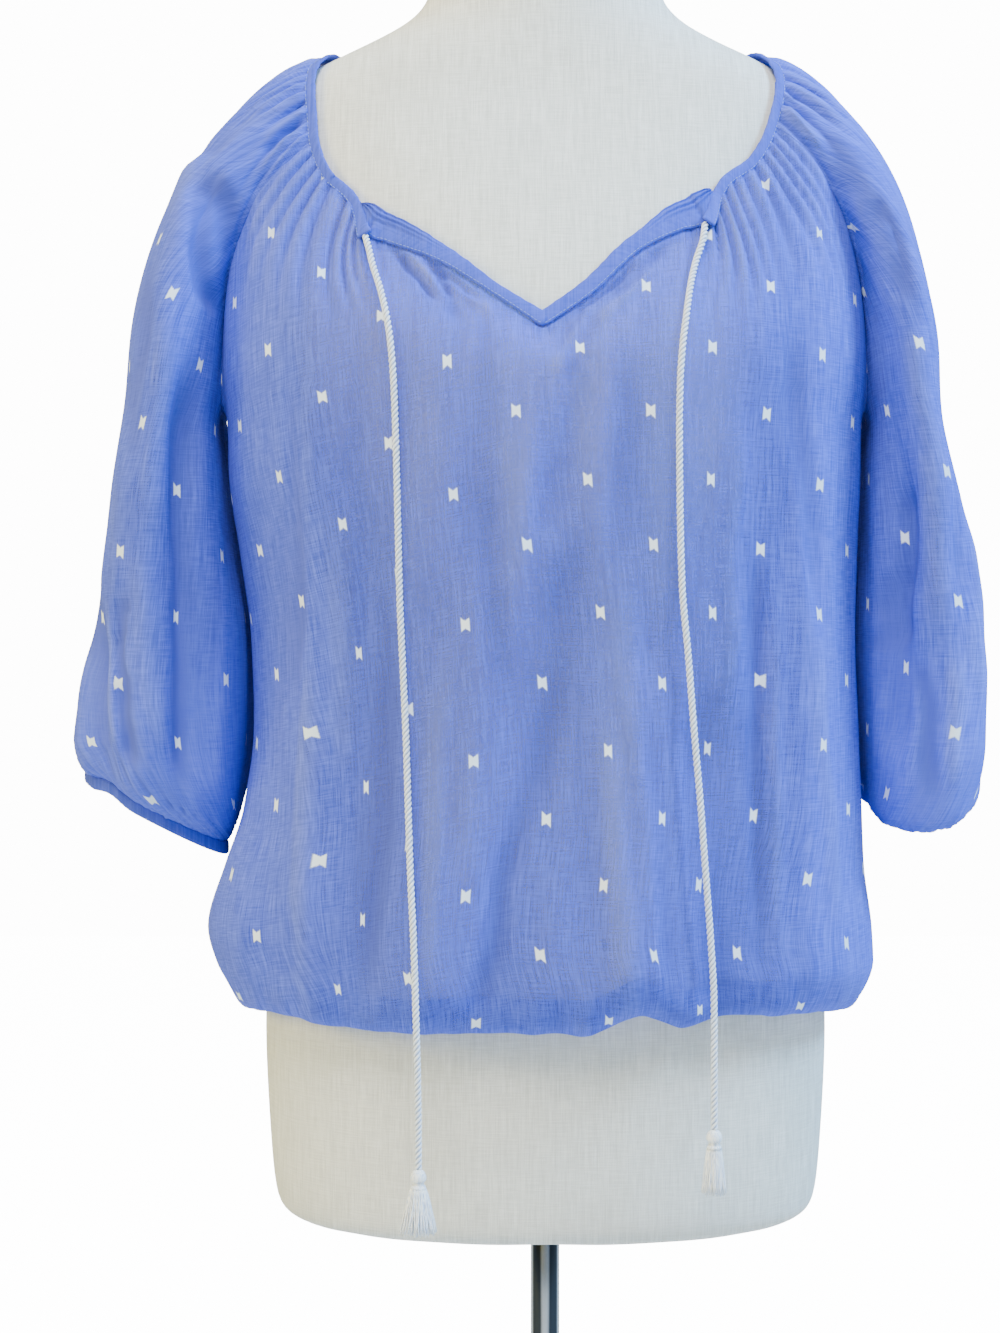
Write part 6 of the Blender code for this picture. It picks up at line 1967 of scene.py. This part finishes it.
class BLOUSE_OT_stand(bpy.types.Operator):
    """Makes the chrome pole, its collar and the round base"""

    bl_idname = "blouse.stand"
    bl_label = "Pole and base"

    def execute(self, context):
        finish = chrome_material()
        settle(turned_piece("pole", "pole_tube", POLE_BEVEL), "chrome", "pole", finish=finish)
        settle(turned_piece("base_collar", "pole_collar", COLLAR_BEVEL), "chrome", "base_collar", finish=finish)
        settle(make_base(), "chrome", "base", finish=finish)
        return {"FINISHED"}


class BLOUSE_OT_stage(bpy.types.Operator):
    """Lays the pale floor and sets the soft studio lights"""

    bl_idname = "blouse.stage"
    bl_label = "Floor and lights"

    def execute(self, context):
        settings = context.scene.blouse_stage
        bpy.ops.object.select_all(action="DESELECT")
        bpy.ops.mesh.primitive_plane_add(size=settings.floor_size, location=(0, 0, FLOOR_HEIGHT))
        floor = place_in_mesh(bpy.context.active_object, "floor")
        floor.data.materials.append(floor_paint(settings))
        context.scene.world = room(settings)
        for name, place, size, tint in LAMPS:
            lamp = bpy.data.lights.new(name, "AREA")
            lamp.shape, lamp.size, lamp.color = "SQUARE", size, tint
            lamp.energy = getattr(settings, name + "_light")
            made = linked(name, lamp)
            made.location = place
            made.rotation_euler = (Vector(CHEST) - Vector(place)).to_track_quat("-Z", "Y").to_euler()
        return {"FINISHED"}


class BLOUSE_PT_panel(bpy.types.Panel):
    """Everything that the blouse and its stand are made of"""

    bl_idname = "BLOUSE_PT_panel"
    bl_label = "Blouse on a dress form"
    bl_space_type = "VIEW_3D"
    bl_region_type = "UI"
    bl_category = "Blouse"

    def draw(self, context):
        for settings in (context.scene.blouse, context.scene.blouse_stand, context.scene.blouse_stage):
            box = self.layout.box()
            for key in settings.__annotations__:
                box.prop(settings, key)
        for operator in OPERATORS:
            self.layout.operator(operator.bl_idname)


SETTINGS = (BlouseSettings, StandSettings, StageSettings)
OPERATORS = (
    BLOUSE_OT_camera,
    BLOUSE_OT_cords,
    BLOUSE_OT_form,
    BLOUSE_OT_cloth,
    BLOUSE_OT_bindings,
    BLOUSE_OT_bands,
    BLOUSE_OT_declare,
    BLOUSE_OT_stand,
    BLOUSE_OT_stage,
)


def register():
    for kind in SETTINGS + OPERATORS + (BLOUSE_PT_panel,):
        bpy.utils.register_class(kind)
    bpy.types.Scene.blouse = bpy.props.PointerProperty(type=BlouseSettings)
    bpy.types.Scene.blouse_stand = bpy.props.PointerProperty(type=StandSettings)
    bpy.types.Scene.blouse_stage = bpy.props.PointerProperty(type=StageSettings)


def unregister():
    del bpy.types.Scene.blouse_stage
    del bpy.types.Scene.blouse_stand
    del bpy.types.Scene.blouse
    for kind in reversed(SETTINGS + OPERATORS + (BLOUSE_PT_panel,)):
        bpy.utils.unregister_class(kind)


def main():
    register()
    for operator in OPERATORS:
        group, call = operator.bl_idname.split(".")
        getattr(getattr(bpy.ops, group), call)()
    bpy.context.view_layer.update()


if __name__ == "__main__":
    main()
